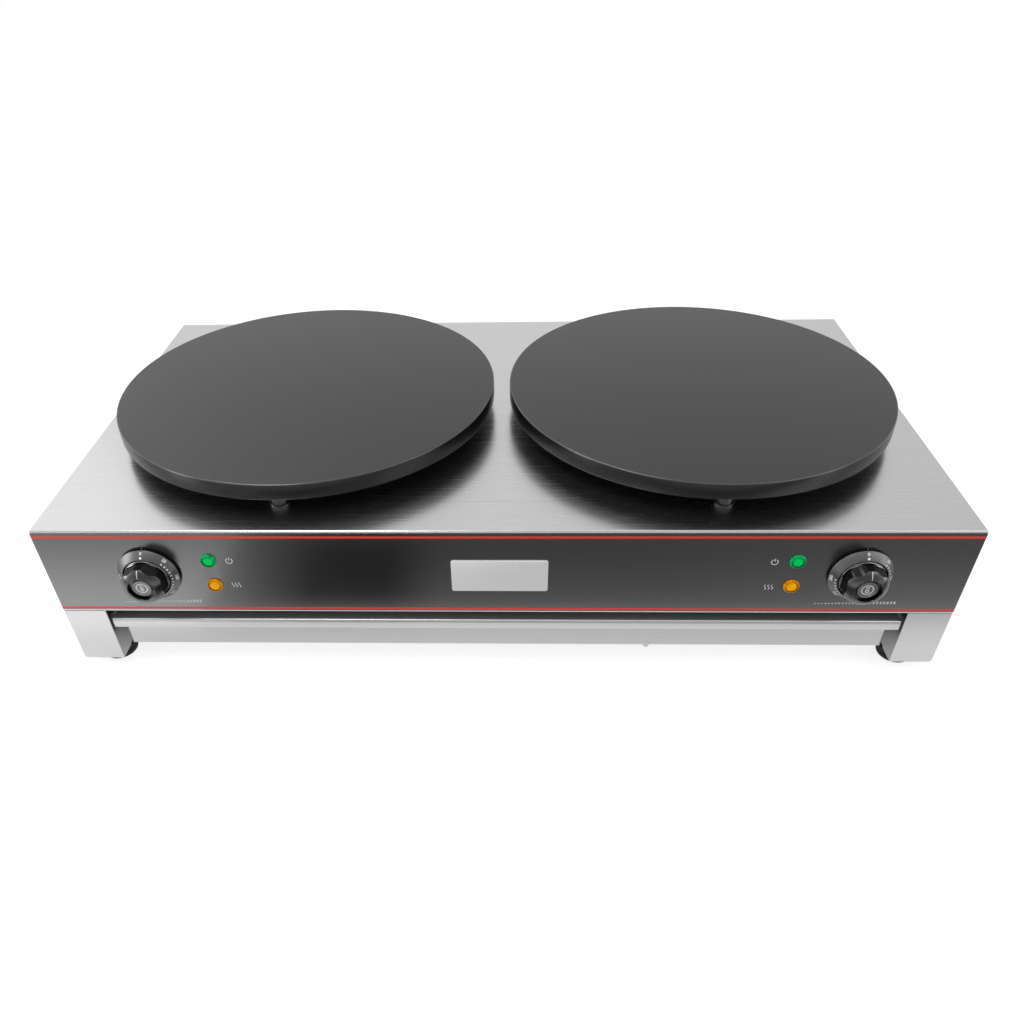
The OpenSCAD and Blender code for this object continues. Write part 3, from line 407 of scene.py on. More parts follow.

# %% [markdown]
# The sheets are all one steel, but each shows its own brush direction and gloss. A few copies carry painted
# light: the front sheet's lighter copy is a painted highlight, and the darker copies on the legs' inner
# faces and on the drawer's top flange are painted shade. Metals get their look from what they mirror, so
# their colours stay plain greys. Blacks differ in how strongly they mirror: the film on the front most, the
# knobs less, the coated griddles and the rubber feet hardly. The griddles' sides take a darker copy of their
# coating, painted shade, and the edges of griddles and knobs lighter finishes, painted highlights. The
# lenses' darker rims, lighter studs and faint glow are painted light as well.

# %% Finishes
ALONG_X = (14, 1900, 1900)
ALONG_Y = (1900, 14, 1900)
SATIN, DULL = (0.22, 0.28), (0.3, 0.36)
FINE, SMOOTH = 0.002, 0.004
body_steel = brushed("brushed_body_steel", ALONG_X, grey(0.53), grey(0.59), SATIN)
side_steel = brushed("brushed_side_steel", ALONG_Y, grey(0.53), grey(0.59), SATIN)
leg_steel = brushed("brushed_leg_steel", ALONG_X, grey(0.53), grey(0.59), DULL)
# The inner faces of the legs take a darker copy of the steel: painted shade between the leg and the drawer.
inner_leg_shade_steel = brushed("dull_inner_leg", ALONG_Y, grey(0.24), grey(0.29), (0.2, 0.28))
materials = {
    "body_steel": body_steel,
    "inner_steel": brushed("galvanised_sheet", (60, 60, 60), (0.4, 0.41, 0.42), (0.55, 0.56, 0.57),
                           (0.35, 0.5)),
    "drawer_steel": brushed("brushed_drawer_steel", ALONG_X, grey(0.45), grey(0.5), DULL),
    "strip_steel": brushed("brushed_strip_steel", ALONG_X, grey(0.53), grey(0.58), DULL),
    # The drawer's top flange gets a darker, less metallic copy of the steel: painted shade for the gap under
    # the body.
    "drawer_flange": simple("drawer_flange_painted_shade", grey(0.22), 900, 0.3, (0.3, 0.4), FINE),
    # The front sheet takes a lighter copy of the steel: a painted highlight on its bends round the film.
    "front_sheet_highlight": brushed("front_sheet_painted_highlight", ALONG_X, grey(0.78), grey(0.84), SATIN),
    "control_film": simple("satin_black_film", grey(0.003), 2500, 0.0, (0.18, 0.24), 0.003, IOR=2.6),
    "badge_steel": brushed("badge_steel", ALONG_X, grey(0.92), grey(0.97), (0.3, 0.38), 0.1),
    "foot_rubber": simple("foot_rubber", grey(0.006), 900, 0.0, (0.5, 0.65), 0.03, IOR=1.35),
    "post_steel": simple("turned_post_steel", grey(0.14), 700, 1.0, (0.2, 0.3), SMOOTH),
    "griddle_iron": simple("non_stick_face", grey(0.021), 1500, 0.0, (0.4, 0.48), 0.006),
    # The griddles' sides and undersides get a darker copy of the coating: painted shade.
    "griddle_rim": simple("non_stick_rim_painted_shade", grey(0.005), 1500, 0.0, (0.25, 0.33), 0.006, IOR=1.42),
    # The bevel along a griddle's upper edge gets a lighter, glossier finish: a painted highlight.
    "griddle_edge": simple("rim_edge_painted_highlight", grey(0.05), 900, 0.0, (0.2, 0.28), SMOOTH, IOR=1.6),
    "element_tube": simple("heat_tinted_tube", (0.3, 0.27, 0.24), 300, 1.0),
    "insulation_felt": simple("ceramic_felt", (0.8, 0.78, 0.73), 500, 0.0, (0.9, 1.0), 0.2),
    # The element's cover under each griddle is nearly black.
    "cover_steel": simple("dark_cover_steel", grey(0.05), 200, 0.6, (0.5, 0.65)),
    "brass": simple("bare_brass", (0.7, 0.5, 0.22), 400, 1.0, (0.25, 0.4)),
    "zinc_steel": simple("zinc_plated_steel", (0.55, 0.57, 0.6), 500, 1.0, (0.28, 0.42)),
    "thermostat_case": simple("thermostat_case", (0.2, 0.17, 0.15), 800),
    "dial_metal": simple("satin_dial_metal", grey(0.15), 900, 1.0, (0.32, 0.38), FINE),
    # A lens is one plastic in four tones: the rim and the slope inside the crest are darker, painted shade
    # for the dark ring, and the studs lighter, a painted glint.
    "green_lens": clear_plastic("green_lens_face", (0.0, 0.34, 0.05), (0.0, 0.5, 0.1)),
    "green_rim": clear_plastic("green_lens_rim", (0.0, 0.05, 0.02), (0.0, 0.5, 0.16)),
    "green_depth": clear_plastic("green_lens_depth", (0.0, 0.025, 0.01), (0.0, 0.12, 0.04)),
    "green_studs": clear_plastic("green_lens_studs", (0.0, 0.62, 0.1), (0.0, 0.8, 0.16)),
    "amber_lens": clear_plastic("amber_lens_face", (0.75, 0.3, 0.0), (0.95, 0.45, 0.0)),
    "amber_rim": clear_plastic("amber_lens_rim", (0.3, 0.07, 0.0), (0.85, 0.33, 0.0)),
    "amber_depth": clear_plastic("amber_lens_depth", (0.08, 0.018, 0.0), (0.3, 0.08, 0.0)),
    "amber_studs": clear_plastic("amber_lens_studs", (1.0, 0.47, 0.0), (1.0, 0.58, 0.0)),
    "lamp_plastic": simple("lamp_nylon", (0.55, 0.54, 0.5), 600),
    "ceramic": simple("steatite", (0.84, 0.81, 0.74), 600, 0.0, (0.2, 0.3)),
    "wire_sleeve": simple("glass_sleeve", (0.5, 0.06, 0.04), 3000, 0.0, (0.7, 0.9)),
    "gland_plastic": simple("gland_nylon", (0.02, 0.02, 0.021), 1200, 0.0, (0.4, 0.55)),
    "knob_plastic": simple("black_phenolic_and_painted_shade", grey(0.002), 1500, 0.0, (0.15, 0.22), FINE, IOR=1.3),
    "knob_face": simple("satin_knob_face", grey(0.003), 1500, 0.0, (0.17, 0.24), FINE, IOR=1.85),
    # The knobs' edges and flute ledges get a grey metallic finish: a painted highlight.
    "knob_painted_highlight": simple("knob_edge_painted_highlight", grey(0.3), 900, 1.0, (0.22, 0.3), FINE),
    "white_print": simple("white_ink", (0.92, 0.92, 0.91), 2000, 0.0, (0.5, 0.6), FINE, shade=0.92),
    "grey_print": simple("grey_ink", grey(0.74), 2000, 0.0, (0.5, 0.6), FINE, shade=0.92),
    "red_print": simple("red_ink", (1.0, 0.05, 0.035), 2000, 0.0, (0.35, 0.45), FINE, shade=0.96),
    "cap_metal": simple("satin_cap_disc", grey(0.26), 900, 0.7, (0.3, 0.4), 0.003),
}
print("finishes", len(materials))

# %% [markdown]
# Every engineering part gets the finish that its record names. A box leg is one folded piece, so its faces
# are told apart by where they look: the front is brushed along the width, the outside along the depth, and
# the inside takes a darker copy of the steel, painted shade between the leg and the drawer. The front sheet
# shows only as the bright hem round the film, and takes a lighter copy of the steel, a painted highlight.

# %% Finishes of the engineering parts
SIDEWAYS = ("side_panel_left", "side_panel_right")
FLAT = 0.9
for part in frame["record"]["subparts"]:
    name = part["node"]
    node = nodes[name]
    node.data.materials.clear()
    # Slot 2, the inside of a leg, is the darker copy: painted shade.
    if name.startswith("leg_"):
        for steel in (leg_steel, side_steel, inner_leg_shade_steel):
            node.data.materials.append(steel)
        outward = -1 if name.endswith("left") else 1
        for face in node.data.polygons:
            sideways = face.normal.x * outward
            face.material_index = 1 if sideways > FLAT else 2 if sideways < -FLAT else 0
    else:
        # The front sheet gets the lighter copy, a painted highlight.
        coating = "front_sheet_highlight" if name == "front_panel" else part["material_slot"]
        node.data.materials.append(side_steel if name in SIDEWAYS else materials[coating])
print("finished parts", len(nodes))

# %% [markdown]
# ## Turned pieces
# Griddle rims, dials, knobs, lenses, feet and posts are all turned or cast in round moulds. Each of them
# can start as a single point that is pulled along the piece's outline and then spun about the upright
# axis. The outline is a list of (radius, height) points in millimetres, so it reads like a drawing.

# %% Helpers for turned pieces
CLOSE = 1e-6
FACING = radians(90)


def only(piece):
    """Makes one object the whole selection."""
    bpy.ops.object.select_all(action="DESELECT")
    piece.select_set(True)
    bpy.context.view_layer.objects.active = piece


def rounding(radius, height, size, start, stop, steps=4):
    """Outline points along a small arc about (radius, height), between two angles in degrees."""
    turns = [radians(start + (stop - start) * i / steps) for i in range(steps + 1)]
    return [(radius + size * cos(a), height + size * sin(a)) for a in turns]


def close_surface():
    bpy.ops.mesh.select_all(action="SELECT")
    bpy.ops.mesh.remove_doubles(threshold=CLOSE)
    bpy.ops.mesh.normals_make_consistent(inside=False)


def draw_outline(name, points):
    """A chain of edges through points in millimetres, still open in edit mode."""
    piece = begin(name, bpy.ops.mesh.primitive_plane_add, size=MM)
    bpy.ops.object.mode_set(mode="EDIT")
    bpy.ops.mesh.select_mode(type="VERT")
    bpy.ops.mesh.select_all(action="SELECT")
    bpy.ops.mesh.merge(type="CENTER")
    here = Vector(points[0]) * MM
    bpy.ops.transform.translate(value=here)
    for point in points[1:]:
        there = Vector(point) * MM
        bpy.ops.mesh.extrude_region_move(TRANSFORM_OT_translate={"value": there - here})
        here = there
    bpy.ops.mesh.select_all(action="SELECT")
    return piece


def turned(name, outline, steps=96, angle=360):
    """A piece turned about the upright axis. Less than a full turn gets flat ends."""
    piece = draw_outline(name, [(radius, 0, height) for radius, height in outline])
    bpy.ops.mesh.spin(steps=steps, angle=radians(angle), center=(0, 0, 0), axis=(0, 0, 1))
    close_surface()
    if angle < 360:
        bpy.ops.mesh.select_mode(type="EDGE")
        bpy.ops.mesh.select_all(action="DESELECT")
        bpy.ops.mesh.select_non_manifold()
        bpy.ops.mesh.fill_holes(sides=0)
        close_surface()
    bpy.ops.object.mode_set(mode="OBJECT")
    return piece


def settle(piece, spot, tilt=0.0, roll=0.0):
    """Puts a piece at its place, in millimetres, and makes that place its rest."""
    only(piece)
    piece.location = Vector(spot) * MM
    piece.rotation_euler = (tilt, 0, roll)
    bpy.ops.object.transform_apply(location=True, rotation=True, scale=True)


def twin(piece, name):
    """A copy with a mesh of its own."""
    only(piece)
    bpy.ops.object.duplicate(linked=False)
    copy = bpy.context.object
    copy.name = copy.data.name = name
    return copy


def soften(piece, angle=35):
    only(piece)
    bpy.ops.object.shade_smooth_by_angle(angle=radians(angle))


def coat(piece, *names):
    for name in names:
        piece.data.materials.append(materials[name])


def slab(name, size, spot):
    """A box of a size about a spot, both in millimetres."""
    piece = begin(name, bpy.ops.mesh.primitive_cube_add, size=1)
    piece.scale = Vector(size) * MM
    piece.location = Vector(spot) * MM
    bpy.ops.object.transform_apply(location=True, rotation=True, scale=True)
    return piece


def joined(pieces, name, *coatings):
    """Joins pieces into the first of them, which gets the name."""
    only(pieces[0])
    for piece in pieces:
        piece.select_set(True)
    bpy.ops.object.join()
    pieces[0].name = pieces[0].data.name = name
    coat(pieces[0], *coatings)
    return pieces[0]


def belongs(piece, body, *stands_for):
    """Tells which body a piece moves with and which engineering parts it stands for."""
    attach(piece, body)
    if stands_for:
        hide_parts(*stands_for)


def select_parts(kind, test):
    """Selects the faces, edges or verts whose middle passes a test, in edit mode."""
    bpy.ops.mesh.select_mode(type={"faces": "FACE", "edges": "EDGE", "verts": "VERT"}[kind])
    bpy.ops.mesh.select_all(action="DESELECT")
    mesh = bmesh.from_edit_mesh(bpy.context.object.data)
    count = 0
    for item in getattr(mesh, kind):
        corners = [item] if kind == "verts" else item.verts
        spot = sum((corner.co for corner in corners), Vector()) / len(corners) / MM
        if test(spot, item):
            item.select_set(True)
            count += 1
    bmesh.update_edit_mesh(bpy.context.object.data)
    return count


def dress(piece, slot, test):
    """Gives the faces whose middle passes a test the material in a slot."""
    only(piece)
    bpy.ops.object.mode_set(mode="EDIT")
    count = select_parts("faces", test)
    piece.active_material_index = slot
    bpy.ops.object.material_slot_assign()
    bpy.ops.object.mode_set(mode="OBJECT")
    return count


print("helpers ready")

# %% [markdown]
# ## Griddles
# Each griddle is a thick cast disc, machined flat on top and coated. A shallow recess under it leaves a
# rim all round and room for the heating element. A cylinder is close to it already: its underside is
# inset and pushed up to make the recess, and the rim's two edges are rounded with a bevel, because the
# thin bright line along the upper edge is what tells cast metal from a cardboard disc. That bevel takes a
# lighter, glossier finish, a painted highlight on the line, and the side and underside a darker copy of the
# coating, painted shade.

# %% Griddles
GRIDDLE_STEPS = 224
RECESS_WALL = 14
SKIN = 6.5
TOP_EDGE = 1.6
FOOT_EDGE = 1.0

griddle_low, griddle_high = span("griddle_left", 2)
griddle_r = (span("griddle_left", 0)[1] - span("griddle_left", 0)[0]) / 2
rim_h = griddle_high - griddle_low
griddle = begin("griddle_casting_left", bpy.ops.mesh.primitive_cylinder_add, vertices=GRIDDLE_STEPS,
                radius=griddle_r * MM, depth=rim_h * MM)
bpy.ops.object.mode_set(mode="EDIT")
select_parts("faces", lambda spot, face: face.normal.z < -0.9)
bpy.ops.mesh.inset(thickness=RECESS_WALL * MM)
bpy.ops.mesh.extrude_region_move(TRANSFORM_OT_translate={"value": (0, 0, (rim_h - SKIN) * MM)})
select_parts("edges", lambda spot, edge: spot.z > rim_h / 2 - 0.01)
bpy.ops.mesh.bevel(offset=TOP_EDGE * MM, segments=5, affect="EDGES")
select_parts("edges", lambda spot, edge: spot.z < 0.01 - rim_h / 2 and hypot(spot.x, spot.y) > griddle_r - 2)
bpy.ops.mesh.bevel(offset=FOOT_EDGE * MM, segments=3, affect="EDGES")
close_surface()
bpy.ops.object.mode_set(mode="OBJECT")
coat(griddle, "griddle_iron", "griddle_rim", "griddle_edge")
# Side and underside: the darker copy, painted shade.
dress(griddle, 1, lambda spot, face: face.normal.z < 0.2)
# The upper edge bevel: the lighter finish, a painted highlight.
dress(griddle, 2, lambda spot, face: 0.2 <= face.normal.z < 0.9 and spot.z > 0)
griddles = {"left": griddle, "right": twin(griddle, "griddle_casting_right")}
for side, piece in griddles.items():
    node = "griddle_" + side
    settle(piece, (middle(node, 0), middle(node, 1), (griddle_low + griddle_high) / 2))
    soften(piece, 40)
    belongs(piece, "housing", node)
print("griddles: radius", round(griddle_r, 1), "mm, rim", round(rim_h, 1), "mm")

# %% [markdown]
# ## Posts and feet
# The posts that hold a griddle off the deck are turned steel with a waist under the griddle. On the real
# machine they come off a lathe, and here they are turned from their outline in the same way. One post is
# copied to three places under each griddle.

# %% Spacer posts
POST_R = 11
NECK_R = 9.5
POST_BORE = 4
POST_RING = 174
POST_TURNS = (30, 150, 270)
post_low, post_high = span("griddle_posts_left", 2)
outline = [(POST_BORE, post_low)]
outline += rounding(POST_R - 0.8, post_low + 0.8, 0.8, -90, 0)
outline += rounding(POST_R - 0.8, post_high - 3.6, 0.8, 0, 60)
outline += [(NECK_R + 0.3, post_high - 2), (NECK_R, post_high - 1.6), (NECK_R, post_high)]
outline += [(POST_BORE, post_high), (POST_BORE, post_low)]
pattern = turned("post", outline, 64)
coat(pattern, "post_steel")
for side in SIDES:
    centre_x = middle("griddle_" + side, 0)
    centre_y = middle("griddle_" + side, 1)
    posts = []
    for number, turn in enumerate(POST_TURNS):
        post = twin(pattern, f"post_{side}_{number + 1}")
        x = centre_x + POST_RING * cos(radians(turn))
        settle(post, (x, centre_y + POST_RING * sin(radians(turn)), 0))
        posts.append(post)
    post = joined(posts, "posts_" + side)
    soften(post)
    belongs(post, "housing", "griddle_posts_" + side)
bpy.data.objects.remove(pattern)
print("posts", round(post_high - post_low, 1), "mm high")

# %% [markdown]
# A rubber foot is a short drum with a soft lower edge, a thin groove round it where the mould closes, and a
# recess that keeps its screw off the table. A rounded cylinder would do from afar. Turning it shows the
# groove, and the foot is made once and copied to the four legs.

# %% Rubber feet
FOOT_R = 17
BORE_R = 3.1
RECESS_R = 6.5
RECESS_TOP = 5
foot_high = span("foot_front_left", 2)[1]
outline = [(BORE_R, RECESS_TOP), (RECESS_R - 0.4, RECESS_TOP), (RECESS_R, RECESS_TOP - 0.4), (RECESS_R, 0.3)]
outline += [(RECESS_R + 0.3, 0)]
outline += rounding(FOOT_R - 2.2, 2.2, 2.2, -90, 0, 6)
outline += [(FOOT_R, 5.2), (FOOT_R - 0.5, 5.6), (FOOT_R - 0.5, 6.2), (FOOT_R, 6.6)]
outline += rounding(FOOT_R - 0.9, foot_high - 0.9, 0.9, 0, 90)
outline += [(BORE_R, foot_high), (BORE_R, RECESS_TOP)]
pattern = turned("foot", outline, 72)
coat(pattern, "foot_rubber")
for end in ("front", "rear"):
    for side in SIDES:
        node = f"foot_{end}_{side}"
        foot = twin(pattern, "rubber_" + node)
        settle(foot, (middle(node, 0), middle(node, 1), 0))
        soften(foot)
        belongs(foot, "housing", node)
bpy.data.objects.remove(pattern)
print("feet", FOOT_R * 2, "mm across")

# %% [markdown]
# ## Dial rings
# A dial ring is a flat cone of spun metal with its numbers printed on the slope. Only the slope is bare
# metal. The rim and the well that the knob turns in take the knobs' black, painted shade for the dark gap
# round the knob and the shaded outer wall. The outline is spun in fine steps, because
# light runs round a cone as one bright streak, and coarse facets would break it up.

# %% Dial rings
RING_R = 29.1
MOUTH_R = 22
RING_WALL = 3.5
RING_OUT = 9.5
FILM = 0.3
WELL_FLOOR = 1.8
BUSH_R = 5.3
dial_y = front_y
dial_z = middle("dial_ring_left", 2)
dial_x = {side: middle("dial_ring_" + side, 0) for side in SIDES}

outline = [(BUSH_R, FILM), (RING_R - 0.3, FILM), (RING_R, FILM + 0.3)]
outline += rounding(RING_R - 0.5, RING_WALL - 0.5, 0.5, 0, 50, 3)
outline += rounding(MOUTH_R + 0.3, RING_OUT - 0.3, 0.3, 50, 180, 5)
outline += [(MOUTH_R, WELL_FLOOR), (BUSH_R, WELL_FLOOR), (BUSH_R, FILM)]
ring = turned("dial_cone", outline, 144)
# The black slot is painted shade on the rim's outer wall and in the well round the knob.
coat(ring, "knob_plastic", "dial_metal")
slope = dress(ring, 1, lambda spot, face: 0.3 < face.normal.z < 0.95)
print("dial ring:", slope, "faces on the slope")


def at_both_dials(pattern, name, body, stands_for=None, smooth=None):
    """Puts a copy of an upright pattern at each dial, facing forwards, and removes the pattern."""
    for side in SIDES:
        copy = twin(pattern, f"{name}_{side}")
        settle(copy, (dial_x[side], dial_y, dial_z), FACING)
        if smooth:
            soften(copy, smooth)
        belongs(copy, body.format(side), *([f"{stands_for}_{side}"] if stands_for else []))
    bpy.data.objects.remove(pattern)


at_both_dials(ring, "dial_cone", "housing", "dial_ring", 30)

# %% [markdown]
# ## Numbers on the dials
# The scale is printed in white: a nought at the top, fifty degrees between one and two o'clock, and so on
# in even steps, with a dot every ten degrees. Each number is a text that is made a mesh, laid on the slope
# of the cone and turned to its place.

# %% Dial print
SCALE_START = 47.0
SCALE_STEP = 44.4 / 50
NUMBERS = (50, 100, 150, 200, 250, 300)
DIGIT_H = 3.0
DIGIT_R = 26.9
DOT_R = 23.9
DOT_SIZE = 0.78
PRINT_T = 0.06
FONT_PER_DIGIT = 1.37
STROKE_SWELL = 0.0001
slope_low = rounding(RING_R - 0.5, RING_WALL - 0.5, 0.5, 0, 50, 3)[-1]
slope_high = rounding(MOUTH_R + 0.3, RING_OUT - 0.3, 0.3, 50, 180, 5)[0]
slope_fall = (slope_high[1] - slope_low[1]) / (slope_low[0] - slope_high[0])
slope_angle = atan2(slope_fall, 1)


def slope_out(radius):
    """How far the cone stands out of the front sheet at a radius."""
    return slope_high[1] - (radius - slope_high[0]) * slope_fall


def scale_turn(degrees_c):
    return SCALE_START + (degrees_c - NUMBERS[0]) * SCALE_STEP


def lay_on_slope(piece, radius, turn):
    """Lays a flat piece on the upper part of the cone and turns it clockwise, still facing upwards."""
    piece.rotation_euler = (-slope_angle, 0, 0)
    piece.location = Vector((0, radius, slope_out(radius))) * MM
    only(piece)
    bpy.ops.object.transform_apply(location=True, rotation=True, scale=True)
    piece.rotation_euler = (0, 0, -radians(turn))
    bpy.ops.object.transform_apply(location=True, rotation=True, scale=True)


def printed_text(name, words, height):
    """Thin raised letters, centred on the origin and facing upwards."""
    text = begin(name, bpy.ops.object.text_add)
    text.data.body = words
    text.data.size = height * MM * FONT_PER_DIGIT
    text.data.extrude = PRINT_T * MM
    text.data.offset = STROKE_SWELL
    text.data.align_x = "CENTER"
    text.data.align_y = "CENTER"
    text.data.resolution_u = 3
    bpy.ops.object.convert(target="MESH")
    text = bpy.context.object
    text.name = text.data.name = name
    bpy.ops.object.mode_set(mode="EDIT")
    close_surface()
    bpy.ops.object.mode_set(mode="OBJECT")
    return text


def printed_dot(name, size):
    return begin(name, bpy.ops.mesh.primitive_cylinder_add, vertices=16, radius=size * MM,
                 depth=2 * PRINT_T * MM)


marks = []
for number in (0, *NUMBERS):
    turn = scale_turn(number) if number else 0.0
    digits = printed_text(f"number_{number}", str(number), DIGIT_H)
    lay_on_slope(digits, DIGIT_R, turn)
    marks.append(digits)
for temperature in range(NUMBERS[0], NUMBERS[-1] + 1, 10):
    dot = printed_dot(f"dot_{temperature}", DOT_SIZE)
    lay_on_slope(dot, DOT_R, scale_turn(temperature))
    marks.append(dot)
dot = printed_dot("dot_0", DOT_SIZE * 1.5)
lay_on_slope(dot, DOT_R, 0.0)
marks.append(dot)
at_both_dials(joined(marks, "scale_print", "white_print"), "dial_numbers", "housing")
print("dial print:", len(marks), "marks on each dial")

# %% [markdown]
# ## Knobs
# A moulded knob: a round flange at the back, a grip with six shallow finger flutes, a domed front and a
# deep round recess for the cap. It could be extruded from a wavy outline, but then its dome would be wavy
# too. So the whole body is turned round first, and the flutes are cut from it afterwards.

# %% Knob body
FLANGE_R = 20.8
FLANGE_OUT = 9.5
GRIP_R = 20.0
KNOB_BACK = 4.2
NOSE = 25.6
SEAT_R = 12.1
SEAT = 20.6
SHAFT_R = 3.2
LOBES = 6
KNOB_STEPS = 144
DOME = [(19.6, 20.98), (19.1, 21.5), (18.5, 22.05), (17.8, 22.62), (17.0, 23.2)]
DOME += [(16.1, 23.75), (15.2, 24.22), (14.3, 24.63), (13.6, 24.93), (13.2, 25.08)]

outline = [(SHAFT_R, KNOB_BACK), (FLANGE_R - 0.4, KNOB_BACK), (FLANGE_R, KNOB_BACK + 0.4)]
outline += [(FLANGE_R, FLANGE_OUT - 0.4), (FLANGE_R - 0.4, FLANGE_OUT), (GRIP_R, FLANGE_OUT)]
outline += [(GRIP_R, out) for out in (12.0, 15.0, 18.0, 20.5)]
outline += DOME + rounding(SEAT_R + 0.7, NOSE - 0.7, 0.7, 60, 180, 6)
outline += [(SEAT_R, SEAT + 1.2), (SEAT_R, SEAT), (SHAFT_R, SEAT), (SHAFT_R, KNOB_BACK)]
knob = turned("knob", outline, KNOB_STEPS)
print("knob body:", len(knob.data.polygons), "faces")

# %% [markdown]
# The flutes are shallow at the flange and deepest at the dome. Six cutters would each leave seams of their
# own, so one sleeve with a wavy hole cuts them all in one go. It is made from four loops of edges, with a
# wall bridged between each two. The dome stays a true dome, and meets the flutes in a crisp wavy edge, which
# is what makes such a knob easy to read.

# %% Finger flutes
FLUTE = 2.1
FLUTE_BACK = 0.8
DOME_EDGE = 22
FLUTE_STEPS = 180
SLEEVE_R = 21.6
SLEEVE_TOP = 30
CLEARANCE = 0.15
LEDGE = FLANGE_OUT + 0.1
LEDGE_RISE = 0.5
LEDGE_DROP = 0.9
LOBE_WIDTH = 1.3
TURNS = [2 * pi * i / FLUTE_STEPS for i in range(FLUTE_STEPS + 1)]


def flute(turn):
    """How deep the flutes are at a turn from twelve o'clock: 0 on a lobe, 1 in the middle of a flute."""
    return ((1 - cos(LOBES * turn)) / 2) ** LOBE_WIDTH


def fluted_loop(depth, out, rise):
    """A wavy loop round the grip. It stands clear of the lobes and cuts in by a depth at the flutes."""
    radii = [GRIP_R + CLEARANCE - (depth + CLEARANCE) * flute(t) for t in TURNS]
    return [(r * sin(t), r * cos(t), out + rise * flute(t)) for r, t in zip(radii, TURNS)]


def outer_loop(out, rise):
    return [(SLEEVE_R * sin(t), SLEEVE_R * cos(t), out + rise * flute(t)) for t in TURNS]


def tube(name, low_loop, high_loop):
    """A wall between two loops, open at both ends."""
    rings = []
    for loop in (low_loop, high_loop):
        rings.append(draw_outline(name, loop))
        bpy.ops.mesh.remove_doubles(threshold=CLOSE)
        bpy.ops.object.mode_set(mode="OBJECT")
    wall = joined(rings, name)
    bpy.ops.object.mode_set(mode="EDIT")
    bpy.ops.mesh.select_mode(type="EDGE")
    bpy.ops.mesh.select_all(action="SELECT")
    bpy.ops.mesh.bridge_edge_loops()
    bpy.ops.object.mode_set(mode="OBJECT")
    return wall


deep = FLUTE_BACK + (FLUTE - FLUTE_BACK) * (SLEEVE_TOP - FLANGE_OUT) / (DOME_EDGE - FLANGE_OUT)
inner_low, inner_high = fluted_loop(FLUTE_BACK, LEDGE, LEDGE_RISE), fluted_loop(deep, SLEEVE_TOP, 0)
outer_low, outer_high = outer_loop(LEDGE, -LEDGE_DROP), outer_loop(SLEEVE_TOP, 0)
walls = [tube("sleeve", inner_low, inner_high), tube("sleeve_top", inner_high, outer_high)]
walls += [tube("sleeve_side", outer_high, outer_low), tube("sleeve_ledge", outer_low, inner_low)]
sleeve = joined(walls, "sleeve")
bpy.ops.object.mode_set(mode="EDIT")
close_surface()
bpy.ops.object.mode_set(mode="OBJECT")
only(knob)
cut = knob.modifiers.new("flutes", "BOOLEAN")
cut.operation = "DIFFERENCE"
cut.solver = "EXACT"
cut.object = sleeve
bpy.ops.object.modifier_apply(modifier="flutes")
bpy.data.objects.remove(sleeve)
bpy.ops.object.mode_set(mode="EDIT")
close_surface()
bpy.ops.object.mode_set(mode="OBJECT")
print("fluted knob:", len(knob.data.polygons), "faces")

# %% [markdown]
# The dome is glossier than the grip. Its wavy edge and the edge of the flange take a grey metallic finish,
# a painted highlight for the glints along them. A narrow bevel rounds all sharp edges and takes that finish
# with it. The edge could be picked out by hand, but the bevel finds it by its angle.

# %% Knob edge and finish
CRISP = 0.5
CRISP_ANGLE = 38
DOME_LOW = 20.4


def on_dome_or_seat(spot, face):
    return spot.z > DOME_LOW and (face.normal.z > 0.3 or hypot(spot.x, spot.y) < SEAT_R + 0.8)


coat(knob, "knob_plastic", "knob_face", "knob_painted_highlight")
dress(knob, 1, on_dome_or_seat)
# The ledges at the foot of the flutes take the same finish: painted glints.
dress(knob, 2, lambda spot, face: 8 < spot.z < 11.5 and 0.7 < face.normal.z < 0.95)
only(knob)
edge = knob.modifiers.new("edge", "BEVEL")
edge.width = CRISP * MM
edge.segments = 2
edge.limit_method = "ANGLE"
edge.angle_limit = radians(CRISP_ANGLE)
edge.material = 2
bpy.ops.object.modifier_apply(modifier="edge")
at_both_dials(knob, "knob_grip", "{}_knob", "knob", 32)
print("knobs: six flutes,", FLUTE, "mm deep")

# %% [markdown]
# The pointer is a thin light line from the seat to the rim of the dome. A line of ink could be painted on by
# a mask, but it would blur in a close view. So it is a sliver of the dome's own outline, raised by a hair
# and turned by less than three degrees.

# %% Pointer line
POINTER_TURN = 2.6
RISE = 0.05
outline = [(DOME[i][0], DOME[i][1] + RISE) for i in (9, 7, 5, 3, 1, 0)]
outline += [(19.6, 20.7), (17.8, 22.3), (16.1, 23.4), (13.2, 24.7)]
pointer = turned("pointer", outline + outline[:1], 2, POINTER_TURN)
coat(pointer, "grey_print")
settle(pointer, (0, 0, 0), 0, radians(90 + POINTER_TURN / 2))
at_both_dials(pointer, "pointer_line", "{}_knob")
print("pointer lines at twelve o'clock")

# %% [markdown]
# The cap is a metal disc pressed into the knob's deep seat, with a raised rim round a sunk face. Its print
# is a plain thermometer in a ring. The strokes of the print are thin pieces on the face, joined into one, so
# that they stay sharp and turn with the knob.

# %% Knob caps
CAP_R = 9.0
CAP_OUT = 23.2
CAP_STEP = 0.5
outline = [(0, SEAT + 0.02), (CAP_R, SEAT + 0.02)]
outline += rounding(CAP_R - 0.35, CAP_OUT - 0.35, 0.35, 0, 90, 3)
outline += rounding(CAP_R - 1.2, CAP_OUT - 0.25, 0.25, 90, 180, 2)
outline += [(CAP_R - 1.6, CAP_OUT - CAP_STEP), (0, CAP_OUT - CAP_STEP)]
cap = turned("knob_cap", outline, 96)
coat(cap, "cap_metal")
at_both_dials(cap, "cap_disc", "{}_knob", "knob_cap", 35)
print("caps", 2 * CAP_R, "mm across")

